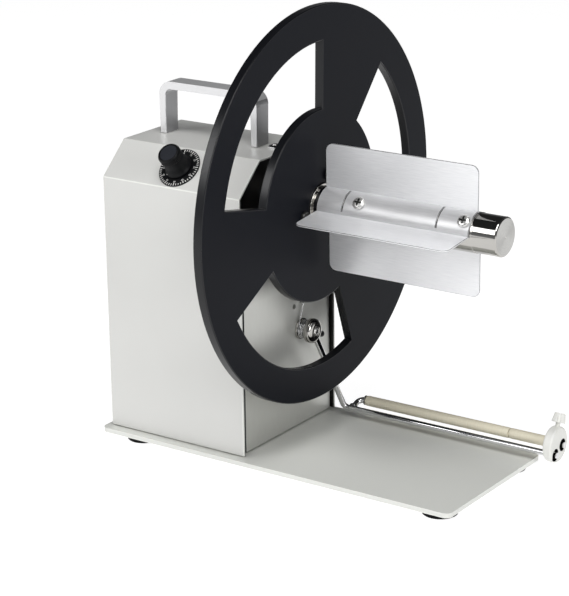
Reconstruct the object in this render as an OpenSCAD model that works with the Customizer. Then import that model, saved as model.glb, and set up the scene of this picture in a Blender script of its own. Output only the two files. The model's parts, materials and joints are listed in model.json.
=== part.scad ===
// Bench label rewinder: a steel housing on a base plate, a motor-driven spindle with a flange disc
// and a bladed core holder, and a sprung swing arm with rollers that starts and stops the drive.
// X runs along the spindle to its free end, -Y is the front, Z = 0 is the table.

/* [Housing] */
// Width of the housing, along the spindle
housing_w = 106; // [104:1:140]
// Depth of the housing, front to back
housing_d = 104; // [98:1:140]
// Height of the housing above the base plate
housing_h = 188; // [186:1:240]
// Height of the sloped shoulders
slope_rise = 20; // [16:1:26]
// Depth of the sloped shoulders
slope_run = 22; // [20:1:26]
// Thickness of the cover's sheet
sheet_t = 1.5; // [1:0.1:2.5]
// Thickness of the drive panel
panel_t = 3; // [2:0.5:4]
// How far the drive panel sits inside the cover's open side
panel_recess = 2.5; // [1.5:0.5:5]
// Width of the flanges that the cover and the panel stand on
flange_w = 12; // [10:1:14]

/* [Base] */
// Thickness of the base plate
base_t = 3; // [3:0.5:8]
// Overhang of the base plate in front of the housing
base_front = 6.5; // [4:0.5:30]
// Overhang of the base plate behind the housing
base_back = 3; // [2:1:30]
// Overhang of the base plate past the housing's closed side
base_left = 4; // [1:0.5:12]
// Reach of the base plate past the housing's spindle side
base_reach = 153; // [120:0.5:158]
// Corner radius of the base plate
base_corner_r = 5; // [2:1:14]
// Diameter of a rubber foot
foot_d = 24; // [16:1:28]
// Height of a rubber foot
foot_h = 4.5; // [4.5:0.5:12]
// Distance from the plate's edges to a foot's centre
foot_inset = 15; // [14:1:30]
// Distance from the plate's edge under the housing's closed side to a foot's centre
foot_inset_left = 24; // [14:1:24]

/* [Spindle] */
// Diameter of the spindle shaft
shaft_d = 25; // [22:0.5:32]
// Height of the spindle axis above the base plate
axis_h = 156; // [150:1:157]
// Reach of the shaft past the housing's spindle side
shaft_reach = 155; // [145:1:165]
// Bevel on the shaft's free end
shaft_bevel = 1; // [0.5:0.1:2]
// Depth the shaft's free end is ground down to its seat
seat_cut = 0.25; // [0.2:0.05:1]
// Diameter of the shaft's journal inside the housing
journal_d = 15; // [12:0.5:16]
// Outer diameter of a spindle bearing
bearing_d = 28; // [27:0.5:30]
// Width of a spindle bearing
bearing_w = 7; // [6.5:0.5:8]

/* [Flange disc] */
// Diameter of the flange disc
disc_d = 250; // [240:1:252]
// Thickness of the flange disc
disc_t = 6; // [4:0.5:8]
// Gap between the housing's side and the disc's back
disc_gap = 19.5; // [19:0.5:24]
// Inner radius of the disc's windows
window_r_in = 61; // [50:1:70]
// Outer radius of the disc's windows
window_r_out = 103; // [90:1:112]
// Angle that each window spans
window_span = 80; // [60:1:95]
// Angle from the back of the machine, turning up, to the middle of the first window
window_turn = 8.7; // [0:0.1:40]
// Outer diameter of the hub's flange
hub_d = 54; // [52:1:64]
// Distance of the hub screws from the shaft's surface
hub_screw_out = 7.5; // [7:0.5:9.5]

/* [Core holder] */
// Radius that the upright blades reach from the spindle axis
blade_r = 41; // [30:0.5:60]
// Radius that the level blades reach from the spindle axis
side_blade_r = 38.5; // [30:0.5:60]
// Angle that the front level blade hangs below level
front_droop = 6; // [0:0.5:10]
// Angle that the back level blade hangs below level
back_droop = 1.5; // [0:0.5:10]
// Length of the blades along the spindle
blade_l = 107.5; // [95:0.5:115]
// Gap between the disc's front and the blades
blade_gap = 4.5; // [2:0.5:5]
// Thickness of the blade sheets
blade_t = 1; // [0.8:0.1:2]
// Distance of a blade's face from the spindle's middle plane
blade_offset = 1; // [0.5:0.1:3]
// Corner radius of the blades
blade_corner_r = 5; // [1:0.5:10]
// Diameter of the blade screws
blade_screw_d = 5; // [4:0.5:6]
// Width of the slits across a sheet's wrap
slit_w = 0.9; // [0.4:0.1:1.5]

/* [Swing arm] */
// Diameter of the arm's rods
rod_d = 4; // [3:0.1:5]
// Depth of the arm's pivot behind the spindle axis
pivot_y = 16; // [12:1:20]
// Height of the arm's pivot above the base plate
pivot_h = 66.1; // [62:0.1:72]
// Distance of the arm's lower corner from the housing's side
arm_x = 13; // [12.5:0.1:14]
// Depth of the lower rod behind the spindle axis
low_rod_y = 43.5; // [40:0.5:46]
// Height of the lower rod above the base plate
low_rod_h = 6.5; // [6:0.1:9]
// Depth of the roller rod behind the lower rod
rear_dy = 9.1; // [9:0.1:12]
// Height of the roller rod above the lower rod
rear_dz = 3.9; // [3:0.1:5]
// Reach of the rods past the housing's side
rod_reach = 170.5; // [168:0.5:176]
// Outer diameter of the rollers
roller_d = 6.8; // [6:0.1:7.2]
// Length of the long roller
roller_long_l = 107; // [90:1:112]
// Length of the short roller
roller_short_l = 28.5; // [15:0.5:29]
// Diameter of the pivot hub
hub_arm_d = 16; // [15:0.5:18]
// Width of the pivot hub
hub_arm_w = 5.6; // [5:0.1:6.5]
// Diameter of the pivot shaft
pivot_d = 8; // [6:0.5:8]

/* [Torsion spring] */
// Wire diameter of the torsion spring
spring_wire = 0.8; // [0.6:0.1:0.8]
// Mean radius of the spring's curls
spring_r = 6; // [5.8:0.1:6.4]
// Number of curls
spring_curls = 3; // [2:1:3]
// Distance from one curl to the next
spring_pitch = 1.25; // [1.2:0.05:1.3]
// Angle from the back of the machine, turning up, at which the spring's fixed leg leaves the curls
spring_leg_a = 160; // [150:1:180]
// Length of the spring's fixed leg
spring_leg = 17; // [12:1:20]

/* [Edge guide] */
// Diameter of the edge guide
guide_d = 22.8; // [20:0.2:23]
// Thickness of the edge guide
guide_t = 6; // [5:0.5:9]
// Bevel on the guide's rims
guide_bevel = 0.8; // [0.3:0.1:1.5]
// Diameter of the guide's hole for the roller rod
guide_hole_d = 8; // [7.8:0.1:9]
// Diameter of the thumb screw's shank
thumb_screw_d = 3; // [2.5:0.5:4]
// Diameter of the thumb screw's head at its foot
thumb_head_d = 9; // [8:0.5:11]
// Height of the thumb screw's head
thumb_head_h = 6; // [4:0.5:8]
// Tilt of the thumb screw towards the back
thumb_tilt = 24; // [0:1:30]

/* [Handle] */
// Length of the handle
handle_l = 76; // [60:1:84]
// Height of the handle
handle_h = 34.5; // [25:0.5:50]
// Thickness of the handle's bar
handle_t = 5; // [4:0.5:6]
// Width of the handle's bar
handle_w = 13; // [10:1:16]
// Outer corner radius of the handle
handle_r = 9; // [7:0.5:14]
// Distance of the handle's middle from the housing's spindle side
handle_x = 56.5; // [54:0.5:58]

/* [Controls] */
// Diameter of the dial plate
dial_d = 28; // [20:1:29]
// Thickness of the dial plate
dial_t = 0.8; // [0.5:0.1:1.2]
// Diameter of the knob's cap
knob_d = 13.8; // [13:0.1:16]
// Height of the knob's cap above the slope
knob_h = 17; // [15:0.5:22]
// Distance of the power button from the housing's spindle side
button_x = 9.7; // [9.5:0.1:12]
// Distance of the power button behind the spindle axis
button_y = 0.4; // [0:0.1:8]
// Diameter of the power button
button_d = 3.8; // [3:0.1:4.2]
// Travel of the power button
button_travel = 0.8; // [0.5:0.1:0.8]

/* [Gears] */
// Module of the gears
gear_m = 1.5; // [1.2:0.05:1.5]
// Teeth of the spindle gear
gear_teeth = 35; // [31:2:37]
// Teeth of the motor pinion
pinion_teeth = 15; // [13:1:17]
// Width of the gears
gear_w = 9; // [6:0.5:9]

/* [Clearances] */
// Running clearance on the radius of a shaft in its hole
run_fit = 0.1; // [0.05:0.01:0.2]
// Clearance on the radius of fixed seats
seat_fit = 0.03; // [0.01:0.01:0.05]
// Gap between a moving piece and its neighbour
gap = 0.3; // [0.2:0.05:0.4]

/* [Hidden] */
$fn = 64;
past = 1; // how far a cutting shape runs past the face that it cuts

// Places along X. The rods' ends and the base plate's far edge are the two ends of the machine.
left_x = (base_left - housing_w - rod_reach) / 2;
side_x = left_x + housing_w;
panel_out_x = side_x - panel_recess;
panel_in_x = panel_out_x - panel_t;
base_left_x = left_x - base_left;
base_right_x = side_x + base_reach;
disc_back_x = side_x + disc_gap;
disc_front_x = disc_back_x + disc_t;
shaft_end_x = side_x + shaft_reach;
blade_x0 = disc_front_x + blade_gap;
blade_x1 = blade_x0 + blade_l;
seat_x0 = blade_x1 + 1;
seat_d = shaft_d - 2 * seat_cut;
rod_end_x = side_x + rod_reach;

// Places along Y and Z
front_y = -housing_d / 2;
back_y = housing_d / 2;
base_z = foot_h + base_t;
top_z = base_z + housing_h;
axis_z = base_z + axis_h;
pivot_z = base_z + pivot_h;
low_rod_z = base_z + low_rod_h;
rear_rod_y = low_rod_y + rear_dy;
rear_rod_z = low_rod_z + rear_dz;
slope_a = atan2(slope_rise, slope_run);

// Fasteners: thread, head diameter, head height
m3 = [3, 5.6, 2.2];
m4 = [4, 7.6, 2.8];
foot_floor = 2;
plate_skin = 0.8;
foot_screw_l = foot_floor + base_t - plate_skin - 0.2;
flange_screw_l = base_t + 3;

// Hub and bearings
hub_flange_t = 5;
hub_sleeve_d = shaft_d + 11;
hub_boss_d = shaft_d + 3.2;
hub_screw_r = shaft_d / 2 + hub_screw_out;
hub_boss_proud = 1;
shaft_hole_d = shaft_d + 5;
inner_race_d = journal_d + 3.6;
outer_race_bore = bearing_d - 3.6;
ball_r = 1.9;
ball_n = 11;
ball_pitch_r = (inner_race_d + outer_race_bore) / 4;
shield_t = 0.5;
housing_tube_d = bearing_d + 8;
housing_tube_l = 30.5;
housing_flange_t = 6;
bearing_front_x = panel_in_x - bearing_w;
bearing_rear_x = panel_in_x - housing_tube_l;
bearing_screw_y = 22;
bearing_screw_z = 8;
spacer_t = 2;

// Gear pair and motor
gear_x1 = bearing_rear_x - spacer_t;
gear_x0 = gear_x1 - gear_w;
gear_hub_l = 5;
gear_hub_d = journal_d + 11;
pressure_a = 25;
backlash = 0.3;
motor_z = axis_z - gear_m * (gear_teeth + pinion_teeth) / 2;
pinion_hub_l = 2.8;
pinion_hub_d = 12;
motor_shaft_d = 4;
bracket_t = 2;
bracket_x1 = gear_x0 - gear_hub_l;
bracket_x0 = bracket_x1 - bracket_t;
bracket_half_w = 38;
bracket_h = 48;
bracket_top_z = axis_z - journal_d / 2 - 6.5;
standoff_d = 8;
standoff_y = 32;
standoff_inset = 6;
gearbox_d = 25;
gearbox_l = 20;
gearbox_boss_d = 7;
motor_d = 24.4;
motor_l = 25;
circlip_t = 1.2;
journal_end_x = gear_x0 - gear_hub_l - circlip_t - 3;

// Blade sheets
wrap_r = shaft_d / 2 + seat_fit;
blade_screw_head = [blade_screw_d, 8, 2.2];
blade_screw_l = 8;
blade_screw_x = [29.5, 102.8];
blade_screw_a = 50;
slit_x = [18.5, 85];
slit_inset_a = 12;
wrap_inset = 0.3;

// Arm
corner_x = side_x + arm_x;
bush_d = 10.5;
bush_flange_d = 14;
bush_flange_t = 1.5;
bush_in = 6;
pivot_in_x = panel_in_x - bush_in - 14;
spring_x0 = panel_out_x + bush_flange_t + spring_wire / 2 + gap;
spring_x1 = spring_x0 + spring_curls * spring_pitch;
hub_arm_x0 = spring_x1 + spring_wire / 2 + gap;
hub_arm_x1 = hub_arm_x0 + hub_arm_w;
hub_mid_x = hub_arm_x0 + hub_arm_w / 2;
leg_hole_d = 2.5 * spring_wire;
spare_hole = [-7, 16.5];
spare_hole_d = 3.4;
arm_drop = pivot_z - low_rod_z;
arm_back = low_rod_y - pivot_y;
arm_a = atan2(arm_back, arm_drop);
arm_len = norm([arm_drop, arm_back]);
arm_lean = atan2(corner_x - hub_mid_x, arm_len);
bend_r = 3.5;
bend_cut = bend_r * tan((90 - arm_lean) / 2);
bend_swell = 0.1;
bend_lap = 0.3;
rod_seat_r = pivot_d / 2 + 1;
rear_bend_r = 4.5;
rear_bend_x = side_x + 23.5;
rear_a = atan2(rear_dz, rear_dy);
rear_gap = norm([rear_dy, rear_dz]);
clip_t = 0.8;
clip_d = 6.6;
roller_x0 = rear_bend_x + clip_t + gap;
roller_split_x = roller_x0 + roller_long_l;
roller_x1 = roller_split_x + gap + roller_short_l;
clamp_a = -26;
clamp_d = 2.5;
clamp_head_d = 4;
clamp_head_h = 3.5;

// Start switch: the cam's rise per radian pushes the plunger
cam_r = 8;
cam_rise = 1.2;
swing_max = 40;
cam_slope = cam_rise / (swing_max * PI / 180);
cam_x1 = panel_in_x - bush_in - 2;
cam_t = 6;
plunger_d = 2.4;
plunger_l = 5;
plunger_y = pivot_y - cam_r - gap;
switch_size = [6.4, 10.2, 19.8];
switch_y = plunger_y - 2.2;
switch_bracket_t = 1.5;

// Guide
guide_x1 = rod_end_x - 1.5;
guide_x0 = guide_x1 - guide_t;
guide_y = low_rod_y + 4.4;
guide_z = low_rod_z + 5.4;
guide_mid_x = (guide_x0 + guide_x1) / 2;
guide_sink = 5;
thumb_seat = (guide_y - low_rod_y) * sin(thumb_tilt) + (guide_z - low_rod_z) * cos(thumb_tilt)
             + guide_d / 2 + gap;
thumb_neck = 1.8;
thumb_taper = 1; // how much smaller the head's radius is at its top
thumb_flutes = 5;
thumb_flute_d = 2.4;
thumb_turn = 10;

// Controls
dial_x = side_x - housing_w / 2;
dial_y = front_y + slope_run / 2;
dial_z = top_z - slope_rise / 2;
bush_thread_d = 7;
pot_d = 16;
pot_l = 10;
pot_shaft_d = 6;
knob_skirt_d = knob_d + 3.8;
knob_foot = 2;
knob_sweep = 300;
knob_hollow_d = 13;
knob_hollow_h = 4;
nut_af = 10;
nut_t = 2;
button_thread_d = 6;
button_body_size = [7, 9, 8];
button_bush_h = 1.7;
button_nut_af = 8;
button_nut_t = 1.2;
button_sink = 6;
inlet_x = side_x - 60;
inlet_z = base_z + 26;
inlet_thread_d = 11;
inlet_l = 14;
inlet_flange_d = 15;
inlet_flange_t = 2;
inlet_socket_d = 6.4;
inlet_pin_d = 2.1;
inlet_pin_sink = 2.5;

// Control board
board_size = [62, 56, 1.6];
board_x0 = side_x - 94;
board_lift = 7;
board_hole_inset = 4;
board_z = base_z + board_lift;

white_paint = "#d9dad4";
panel_steel = "#c9cac4";
black_paint = "#232427";
chrome = "#c8c8ca";
steel = "#b9bbbd";
dark_plastic = "#1b1b1d";
nylon = "#efefe9";
brass = "#c9a44c";

// Shared shapes

// Cylinder along X
module bar_x(d, x0, x1, y = 0, z = 0) {
    translate([x0, y, z]) rotate([0, 90, 0]) cylinder(d = d, h = x1 - x0);
}

// Tube along X
module tube_x(d, bore, x0, x1, y = 0, z = 0) {
    difference() {
        bar_x(d, x0, x1, y, z);
        bar_x(bore, x0 - past, x1 + past, y, z);
    }
}

// A drawing in Y and Z, thickened along X
module slab_x(x0, x1) {
    translate([x0, 0, 0]) rotate([90, 0, 90]) linear_extrude(x1 - x0) children();
}

// Screw that points down, with its head standing on Z = 0
module pan_screw(size, length, cross = false) {
    difference() {
        union() {
            cylinder(d = size[1], h = size[2]);
            translate([0, 0, -length]) cylinder(d = size[0], h = length + past);
        }
        if (cross)
            for (turn = [0, 90])
                rotate(turn) translate([-size[1] * 0.3, -size[1] * 0.07, size[2] * 0.45])
                    cube([size[1] * 0.6, size[1] * 0.14, size[2]]);
    }
}

module hex_nut(across_flats, thick, bore) {
    difference() {
        cylinder(d = across_flats / cos(30), h = thick, $fn = 6);
        translate([0, 0, -past]) cylinder(d = bore, h = thick + 2 * past);
    }
}

// Rectangle with its far two corners rounded
module tab_2d(length, height, r) {
    square([length, height - r]);
    translate([r, 0]) square([length - 2 * r, height]);
    for (x = [r, length - r]) translate([x, height - r]) circle(r);
}

// Rectangle with all corners rounded
module plate_2d(length, width, r) {
    translate([r, 0]) square([length - 2 * r, width]);
    translate([0, r]) square([length, width - 2 * r]);
    for (x = [r, length - r], y = [r, width - r]) translate([x, y]) circle(r);
}

// Places that children are repeated at
module at_points(points) {
    for (p = points) translate(p) children();
}

module on_axis() { translate([0, 0, axis_z]) children(); }

module on_slope() { translate([dial_x, dial_y, dial_z]) rotate([slope_a, 0, 0]) children(); }

module on_button() { translate([side_x - button_x, button_y, top_z]) children(); }

function polar(r, a) = r * [cos(a), sin(a)];

// Outline of an involute gear with a tooth on +X
function roll_angle(base, r) = sqrt(max(pow(r / base, 2) - 1, 0)) * 180 / PI - acos(min(base / r, 1));
function flank(teeth, r) =
    let (pitch = gear_m * teeth / 2, base = pitch * cos(pressure_a))
    90 / teeth - backlash / 2 / pitch * 90 / PI + roll_angle(base, pitch) - roll_angle(base, max(r, base));
function gear_points(teeth, steps = 4) =
    let (pitch = gear_m * teeth / 2, root = pitch - 1.25 * gear_m, tip = pitch + 0.95 * gear_m,
         low = max(root + 0.1, pitch * cos(pressure_a)),
         radii = concat([root], [for (i = [0:steps]) low + (tip - low) * i / steps]), last = steps + 1)
    [for (tooth = [0:teeth - 1]) let (mid = 360 * tooth / teeth)
        each concat(
            [for (i = [0:last]) polar(radii[i], mid - flank(teeth, radii[i]))],
            [for (i = [last:-1:0]) polar(radii[i], mid + flank(teeth, radii[i]))])];

// Outline of the housing, inset by a wall thickness, open at the bottom
function housing_points(wall, low) =
    let (m = slope_rise / slope_run, lean = wall * sqrt(1 + m * m),
         side = housing_d / 2 - wall, top = top_z - wall,
         shoulder_z = top_z - slope_rise + wall * m - lean,
         shoulder_y = housing_d / 2 - (slope_rise - wall + lean) / m)
    [[-side, low], [side, low], [side, shoulder_z],
     [shoulder_y, top], [-shoulder_y, top], [-side, shoulder_z]];

// Frame

foot_points = [for (x = [base_left_x + foot_inset_left, base_right_x - foot_inset],
                    y = [front_y - base_front + foot_inset, back_y + base_back - foot_inset]) [x, y, 0]];
cover_screw_points = [for (x = [left_x + 42, side_x - 26], y = [front_y, back_y])
    [x, y - sign(y) * (sheet_t + flange_w / 2), 0]];
panel_screw_points = [for (y = [-26, 26]) [panel_in_x - flange_w / 2, y, 0]];
handle_screw_points = [for (x = [-1, 1])
    [side_x - handle_x + x * (handle_l - handle_t) / 2, 0, top_z - sheet_t]];
board_points = [for (x = [board_hole_inset, board_size[0] - board_hole_inset],
                     y = [board_hole_inset, board_size[1] - board_hole_inset])
    [board_x0 + x, y - board_size[1] / 2, base_z]];

module base_plate() {
    color(white_paint)
    difference() {
        translate([base_left_x, front_y - base_front, foot_h])
            linear_extrude(base_t)
                plate_2d(base_right_x - base_left_x, housing_d + base_front + base_back, base_corner_r);
        at_points(concat(cover_screw_points, panel_screw_points))
            translate([0, 0, foot_h - past]) cylinder(d = m4[0] + 2 * run_fit, h = base_t + 2 * past);
        at_points(foot_points)
            translate([0, 0, foot_h - past])
                cylinder(d = m3[0] + 2 * seat_fit, h = base_t - plate_skin + past);
        at_points(board_points)
            translate([0, 0, -base_t - past]) cylinder(d = m3[0] + 2 * seat_fit, h = base_t + 2 * past);
    }
}

foot_recess_d = m3[1] + 1.4;

module rubber_feet() {
    color(dark_plastic)
    at_points(foot_points)
        difference() {
            cylinder(d1 = foot_d - 2, d2 = foot_d, h = foot_h);
            translate([0, 0, -past]) cylinder(d = foot_recess_d, h = foot_h - foot_floor + past);
            cylinder(d = m3[0] + 2 * seat_fit, h = foot_h + past);
        }
}

module foot_screws() {
    color(steel)
    at_points(foot_points)
        translate([0, 0, foot_h - foot_floor]) mirror([0, 0, 1]) pan_screw(m3, foot_screw_l);
}

module housing_cover() {
    color(white_paint)
    difference() {
        union() {
            difference() {
                slab_x(left_x, side_x) polygon(housing_points(0, base_z));
                slab_x(left_x + sheet_t, side_x + past) polygon(housing_points(sheet_t, base_z - past));
            }
            for (side = [0, 1]) mirror([0, side, 0])
                translate([left_x + sheet_t / 2, front_y + sheet_t / 2, base_z])
                    cube([panel_in_x - flange_w - gap - left_x - sheet_t / 2, flange_w, sheet_t]);
        }
        on_slope() cylinder(d = bush_thread_d + 2 * seat_fit, h = 4 * sheet_t, center = true);
        on_button() cylinder(d = button_thread_d + 2 * seat_fit, h = 4 * sheet_t, center = true);
        at_points(handle_screw_points) cylinder(d = m4[0] + 2 * seat_fit, h = 4 * sheet_t, center = true);
        at_points(cover_screw_points) translate([0, 0, base_z - past])
            cylinder(d = m4[0] + 2 * seat_fit, h = sheet_t + 2 * past);
        translate([inlet_x, back_y, inlet_z]) rotate([90, 0, 0])
            cylinder(d = inlet_thread_d + 2 * seat_fit, h = 4 * sheet_t, center = true);
    }
}

module drive_panel() {
    color(panel_steel)
    difference() {
        union() {
            slab_x(panel_in_x, panel_out_x) polygon(housing_points(sheet_t + seat_fit, base_z));
            translate([panel_in_x - flange_w, front_y + sheet_t + flange_w + gap, base_z])
                cube([flange_w + past, housing_d - 2 * (sheet_t + flange_w + gap), panel_t]);
        }
        on_axis() bar_x(shaft_hole_d, panel_in_x - past, panel_out_x + past);
        bar_x(bush_d + 2 * seat_fit, panel_in_x - past, panel_out_x + past, pivot_y, pivot_z);
        for (hole = [[leg_point(spring_leg), leg_hole_d], [spare_hole, spare_hole_d]])
            bar_x(hole[1], panel_in_x - past, panel_out_x + past, pivot_y + hole[0][0], pivot_z + hole[0][1]);
        at_points(panel_screw_points)
            translate([0, 0, base_z - past]) cylinder(d = m4[0] + 2 * seat_fit, h = panel_t + 2 * past);
        on_axis() at_points(bearing_screw_points())
            bar_x(m4[0] + 2 * seat_fit, panel_in_x - past, panel_out_x + past);
    }
}

module base_screws() {
    color(steel)
    at_points(concat(cover_screw_points, panel_screw_points))
        translate([0, 0, foot_h]) mirror([0, 0, 1]) pan_screw(m4, flange_screw_l);
}

module carry_handle() {
    color("white")
    difference() {
        translate([side_x - handle_x - handle_l / 2, handle_w / 2, top_z]) rotate([90, 0, 0])
            linear_extrude(handle_w)
                difference() {
                    tab_2d(handle_l, handle_h, handle_r);
                    translate([handle_t, -past])
                        tab_2d(handle_l - 2 * handle_t, handle_h - handle_t + past, handle_r - handle_t);
                }
        at_points(handle_screw_points) cylinder(d = m4[0] + 2 * seat_fit, h = 12);
    }
}

module handle_screws() {
    color(steel)
    at_points(handle_screw_points) mirror([0, 0, 1]) pan_screw(m4, 10);
}

// Spindle bearings

function bearing_screw_points() =
    [for (y = [-1, 1], z = [-1, 1]) [0, y * bearing_screw_y, z * bearing_screw_z]];

module bearing_housing() {
    color("#a9abad")
    on_axis()
    difference() {
        union() {
            bar_x(housing_tube_d, bearing_rear_x, panel_in_x);
            intersection() {
                bar_x(2 * bearing_screw_y + 12, panel_in_x - housing_flange_t, panel_in_x);
                translate([panel_in_x - housing_flange_t, -50, -14]) cube([housing_flange_t, 100, 28]);
            }
        }
        bar_x(bearing_d + 2 * seat_fit, bearing_front_x, panel_in_x + past);
        bar_x(bearing_d + 2 * seat_fit, bearing_rear_x - past, bearing_rear_x + bearing_w);
        bar_x(outer_race_bore + 1, bearing_rear_x, panel_in_x);
        at_points(bearing_screw_points()) bar_x(m4[0] + 2 * seat_fit, panel_in_x - 20, panel_in_x + past);
    }
}

module bearing_screws() {
    color(steel)
    on_axis() at_points(bearing_screw_points())
        translate([panel_out_x, 0, 0]) rotate([0, 90, 0]) pan_screw(m4, panel_t + housing_flange_t);
}

bearing_starts = [bearing_front_x, bearing_rear_x];

module bearing_outer_races() {
    color(steel)
    on_axis()
    for (x = bearing_starts)
        translate([x, 0, 0]) rotate([0, 90, 0])
            difference() {
                cylinder(d = bearing_d, h = bearing_w);
                translate([0, 0, -past]) cylinder(d = inner_race_d + 4 * gap, h = bearing_w + 2 * past);
                translate([0, 0, 2 * shield_t]) cylinder(d = outer_race_bore, h = bearing_w - 4 * shield_t);
                for (z = [-past, bearing_w - shield_t])
                    translate([0, 0, z]) cylinder(d = outer_race_bore, h = shield_t + past);
                translate([0, 0, bearing_w / 2])
                    rotate_extrude() translate([ball_pitch_r, 0]) circle(ball_r + gap, $fn = 32);
            }
}

module bearing_inner_races() {
    color(steel)
    on_axis()
    for (x = bearing_starts)
        translate([x, 0, 0]) rotate([0, 90, 0])
            difference() {
                cylinder(d = inner_race_d, h = bearing_w);
                translate([0, 0, -past]) cylinder(d = journal_d + 2 * seat_fit, h = bearing_w + 2 * past);
                translate([0, 0, bearing_w / 2])
                    rotate_extrude() translate([ball_pitch_r, 0]) circle(ball_r + seat_fit, $fn = 32);
            }
}

module bearing_balls() {
    color(steel)
    on_axis()
    for (x = bearing_starts, i = [0:ball_n - 1])
        translate([x + bearing_w / 2, 0, 0]) rotate([360 * i / ball_n, 0, 0])
            translate([0, ball_pitch_r, 0]) sphere(ball_r, $fn = 24);
}

// Drive

standoff_points = [for (y = [-1, 1], z = [standoff_inset, bracket_h - standoff_inset])
    [0, y * standoff_y, bracket_top_z - z]];

module motor_standoffs() {
    color(steel)
    at_points(standoff_points)
        difference() {
            bar_x(standoff_d, bracket_x1, panel_in_x);
            bar_x(m3[0] + 2 * seat_fit, bracket_x1 - past, bracket_x1 + 10);
        }
}

gearbox_screw_points = [for (a = [0, 180]) [0, 8.5 * cos(a), motor_z + 8.5 * sin(a)]];

module motor_bracket() {
    color(steel)
    difference() {
        translate([bracket_x0, -bracket_half_w, bracket_top_z - bracket_h])
            cube([bracket_t, 2 * bracket_half_w, bracket_h]);
        bar_x(gearbox_boss_d + 2 * seat_fit, bracket_x0 - past, bracket_x1 + past, 0, motor_z);
        at_points(concat(standoff_points, gearbox_screw_points))
            bar_x(m3[0] + 2 * seat_fit, bracket_x0 - past, bracket_x1 + past);
    }
}

module gearbox_case() {
    color("#8f9194")
    difference() {
        union() {
            bar_x(gearbox_d, bracket_x0 - gearbox_l, bracket_x0, 0, motor_z);
            bar_x(gearbox_boss_d, bracket_x0 - past, bracket_x1, 0, motor_z);
        }
        bar_x(motor_shaft_d + 2 * run_fit, bracket_x0 - gearbox_l + 4, bracket_x1 + past, 0, motor_z);
        at_points(gearbox_screw_points) bar_x(m3[0] + 2 * seat_fit, bracket_x0 - 6, bracket_x1 + past);
    }
}

module motor_can() {
    color("#7d7f82")
    translate([bracket_x0 - gearbox_l, 0, motor_z]) rotate([0, -90, 0]) {
        cylinder(d = motor_d, h = motor_l - 2);
        cylinder(d = motor_d - 3, h = motor_l);
        for (side = [-1, 1]) translate([-0.4, side * 7 - 1.5, motor_l - past]) cube([0.8, 3, 3]);
    }
}

module drive_screws() {
    color(steel) {
        at_points(standoff_points)
            translate([bracket_x0, 0, 0]) rotate([0, -90, 0]) pan_screw(m3, 8);
        at_points(gearbox_screw_points)
            translate([bracket_x1, 0, 0]) rotate([0, 90, 0]) pan_screw([m3[0], m3[1], 1.8], bracket_t + 4);
    }
}

module motor_shaft() {
    color(steel)
    bar_x(motor_shaft_d, bracket_x0 - gearbox_l + 4 + gap, gear_x1, 0, motor_z);
}

module motor_pinion() {
    color(brass)
    difference() {
        union() {
            translate([0, 0, motor_z]) slab_x(gear_x0, gear_x1)
                rotate(90 + 180 / pinion_teeth) polygon(gear_points(pinion_teeth));
            bar_x(pinion_hub_d, gear_x0 - pinion_hub_l, gear_x0 + past, 0, motor_z);
        }
        bar_x(motor_shaft_d + 2 * seat_fit, gear_x0 - pinion_hub_l - past, gear_x1 + past, 0, motor_z);
    }
}

module gear_spacer() {
    color(steel) on_axis() tube_x(inner_race_d, journal_d + 2 * seat_fit, gear_x1, bearing_rear_x);
}

module spindle_gear() {
    color("#9a9c9f")
    on_axis()
    difference() {
        union() {
            slab_x(gear_x0, gear_x1) rotate(-90) polygon(gear_points(gear_teeth));
            bar_x(gear_hub_d, gear_x0 - gear_hub_l, gear_x0 + past);
        }
        bar_x(journal_d + 2 * seat_fit, gear_x0 - gear_hub_l - past, gear_x1 + past);
    }
}

groove_d = journal_d - 1.2;

module shaft_circlip() {
    color(steel)
    on_axis() tube_x(journal_d + 5, groove_d + 2 * seat_fit, bracket_x1 - circlip_t, bracket_x1);
}

// Control board and power inlet

module control_board() {
    color("#1f6b3a")
    difference() {
        translate([board_x0, -board_size[1] / 2, board_z]) cube(board_size);
        at_points(board_points) translate([0, 0, board_lift - past])
            cylinder(d = m3[0] + 2 * seat_fit, h = board_size[2] + 2 * past);
    }
}

module board_parts() {
    z = board_z + board_size[2];
    color("#3a3f45") {
        translate([board_x0 + 12, -22, z]) cube([8, 30, 10]);
        for (x = [30, 43]) translate([board_x0 + x, -14, z]) cylinder(d = 10, h = 16);
        translate([board_x0 + 28, 4, z]) cube([26, 14, 18]);
        for (i = [0:4]) translate([board_x0 + 28 + 5.5 * i, 4 - 3, z]) cube([1.5, 3.5, 18]);
        translate([board_x0 + 6, 12, z]) cube([16, 8, 9]);
    }
}

module board_standoffs() {
    color(brass)
    at_points(board_points)
        difference() {
            cylinder(d = 5.5, h = board_lift);
            translate([0, 0, -past]) cylinder(d = m3[0] + 2 * seat_fit, h = board_lift + 2 * past);
        }
}

module board_screws() {
    color(steel)
    at_points(board_points) translate([0, 0, board_lift + board_size[2]])
        pan_screw(m3, board_lift + board_size[2] + base_t - 1);
}

module power_inlet() {
    color(dark_plastic)
    translate([inlet_x, back_y, inlet_z]) rotate([-90, 0, 0]) {
        difference() {
            union() {
                cylinder(d = inlet_flange_d, h = inlet_flange_t);
                translate([0, 0, -inlet_l]) cylinder(d = inlet_thread_d, h = inlet_l + past);
            }
            translate([0, 0, -inlet_l + 3]) cylinder(d = inlet_socket_d, h = inlet_l + inlet_flange_t);
        }
        translate([0, 0, -inlet_l + 2]) cylinder(d = inlet_pin_d, h = inlet_l - 2 - inlet_pin_sink);
    }
}

module inlet_nut() {
    color(steel)
    translate([inlet_x, back_y - sheet_t, inlet_z]) rotate([90, 0, 0])
        hex_nut(14, 2, inlet_thread_d + 2 * seat_fit);
}

// Speed setting on the front slope

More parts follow.
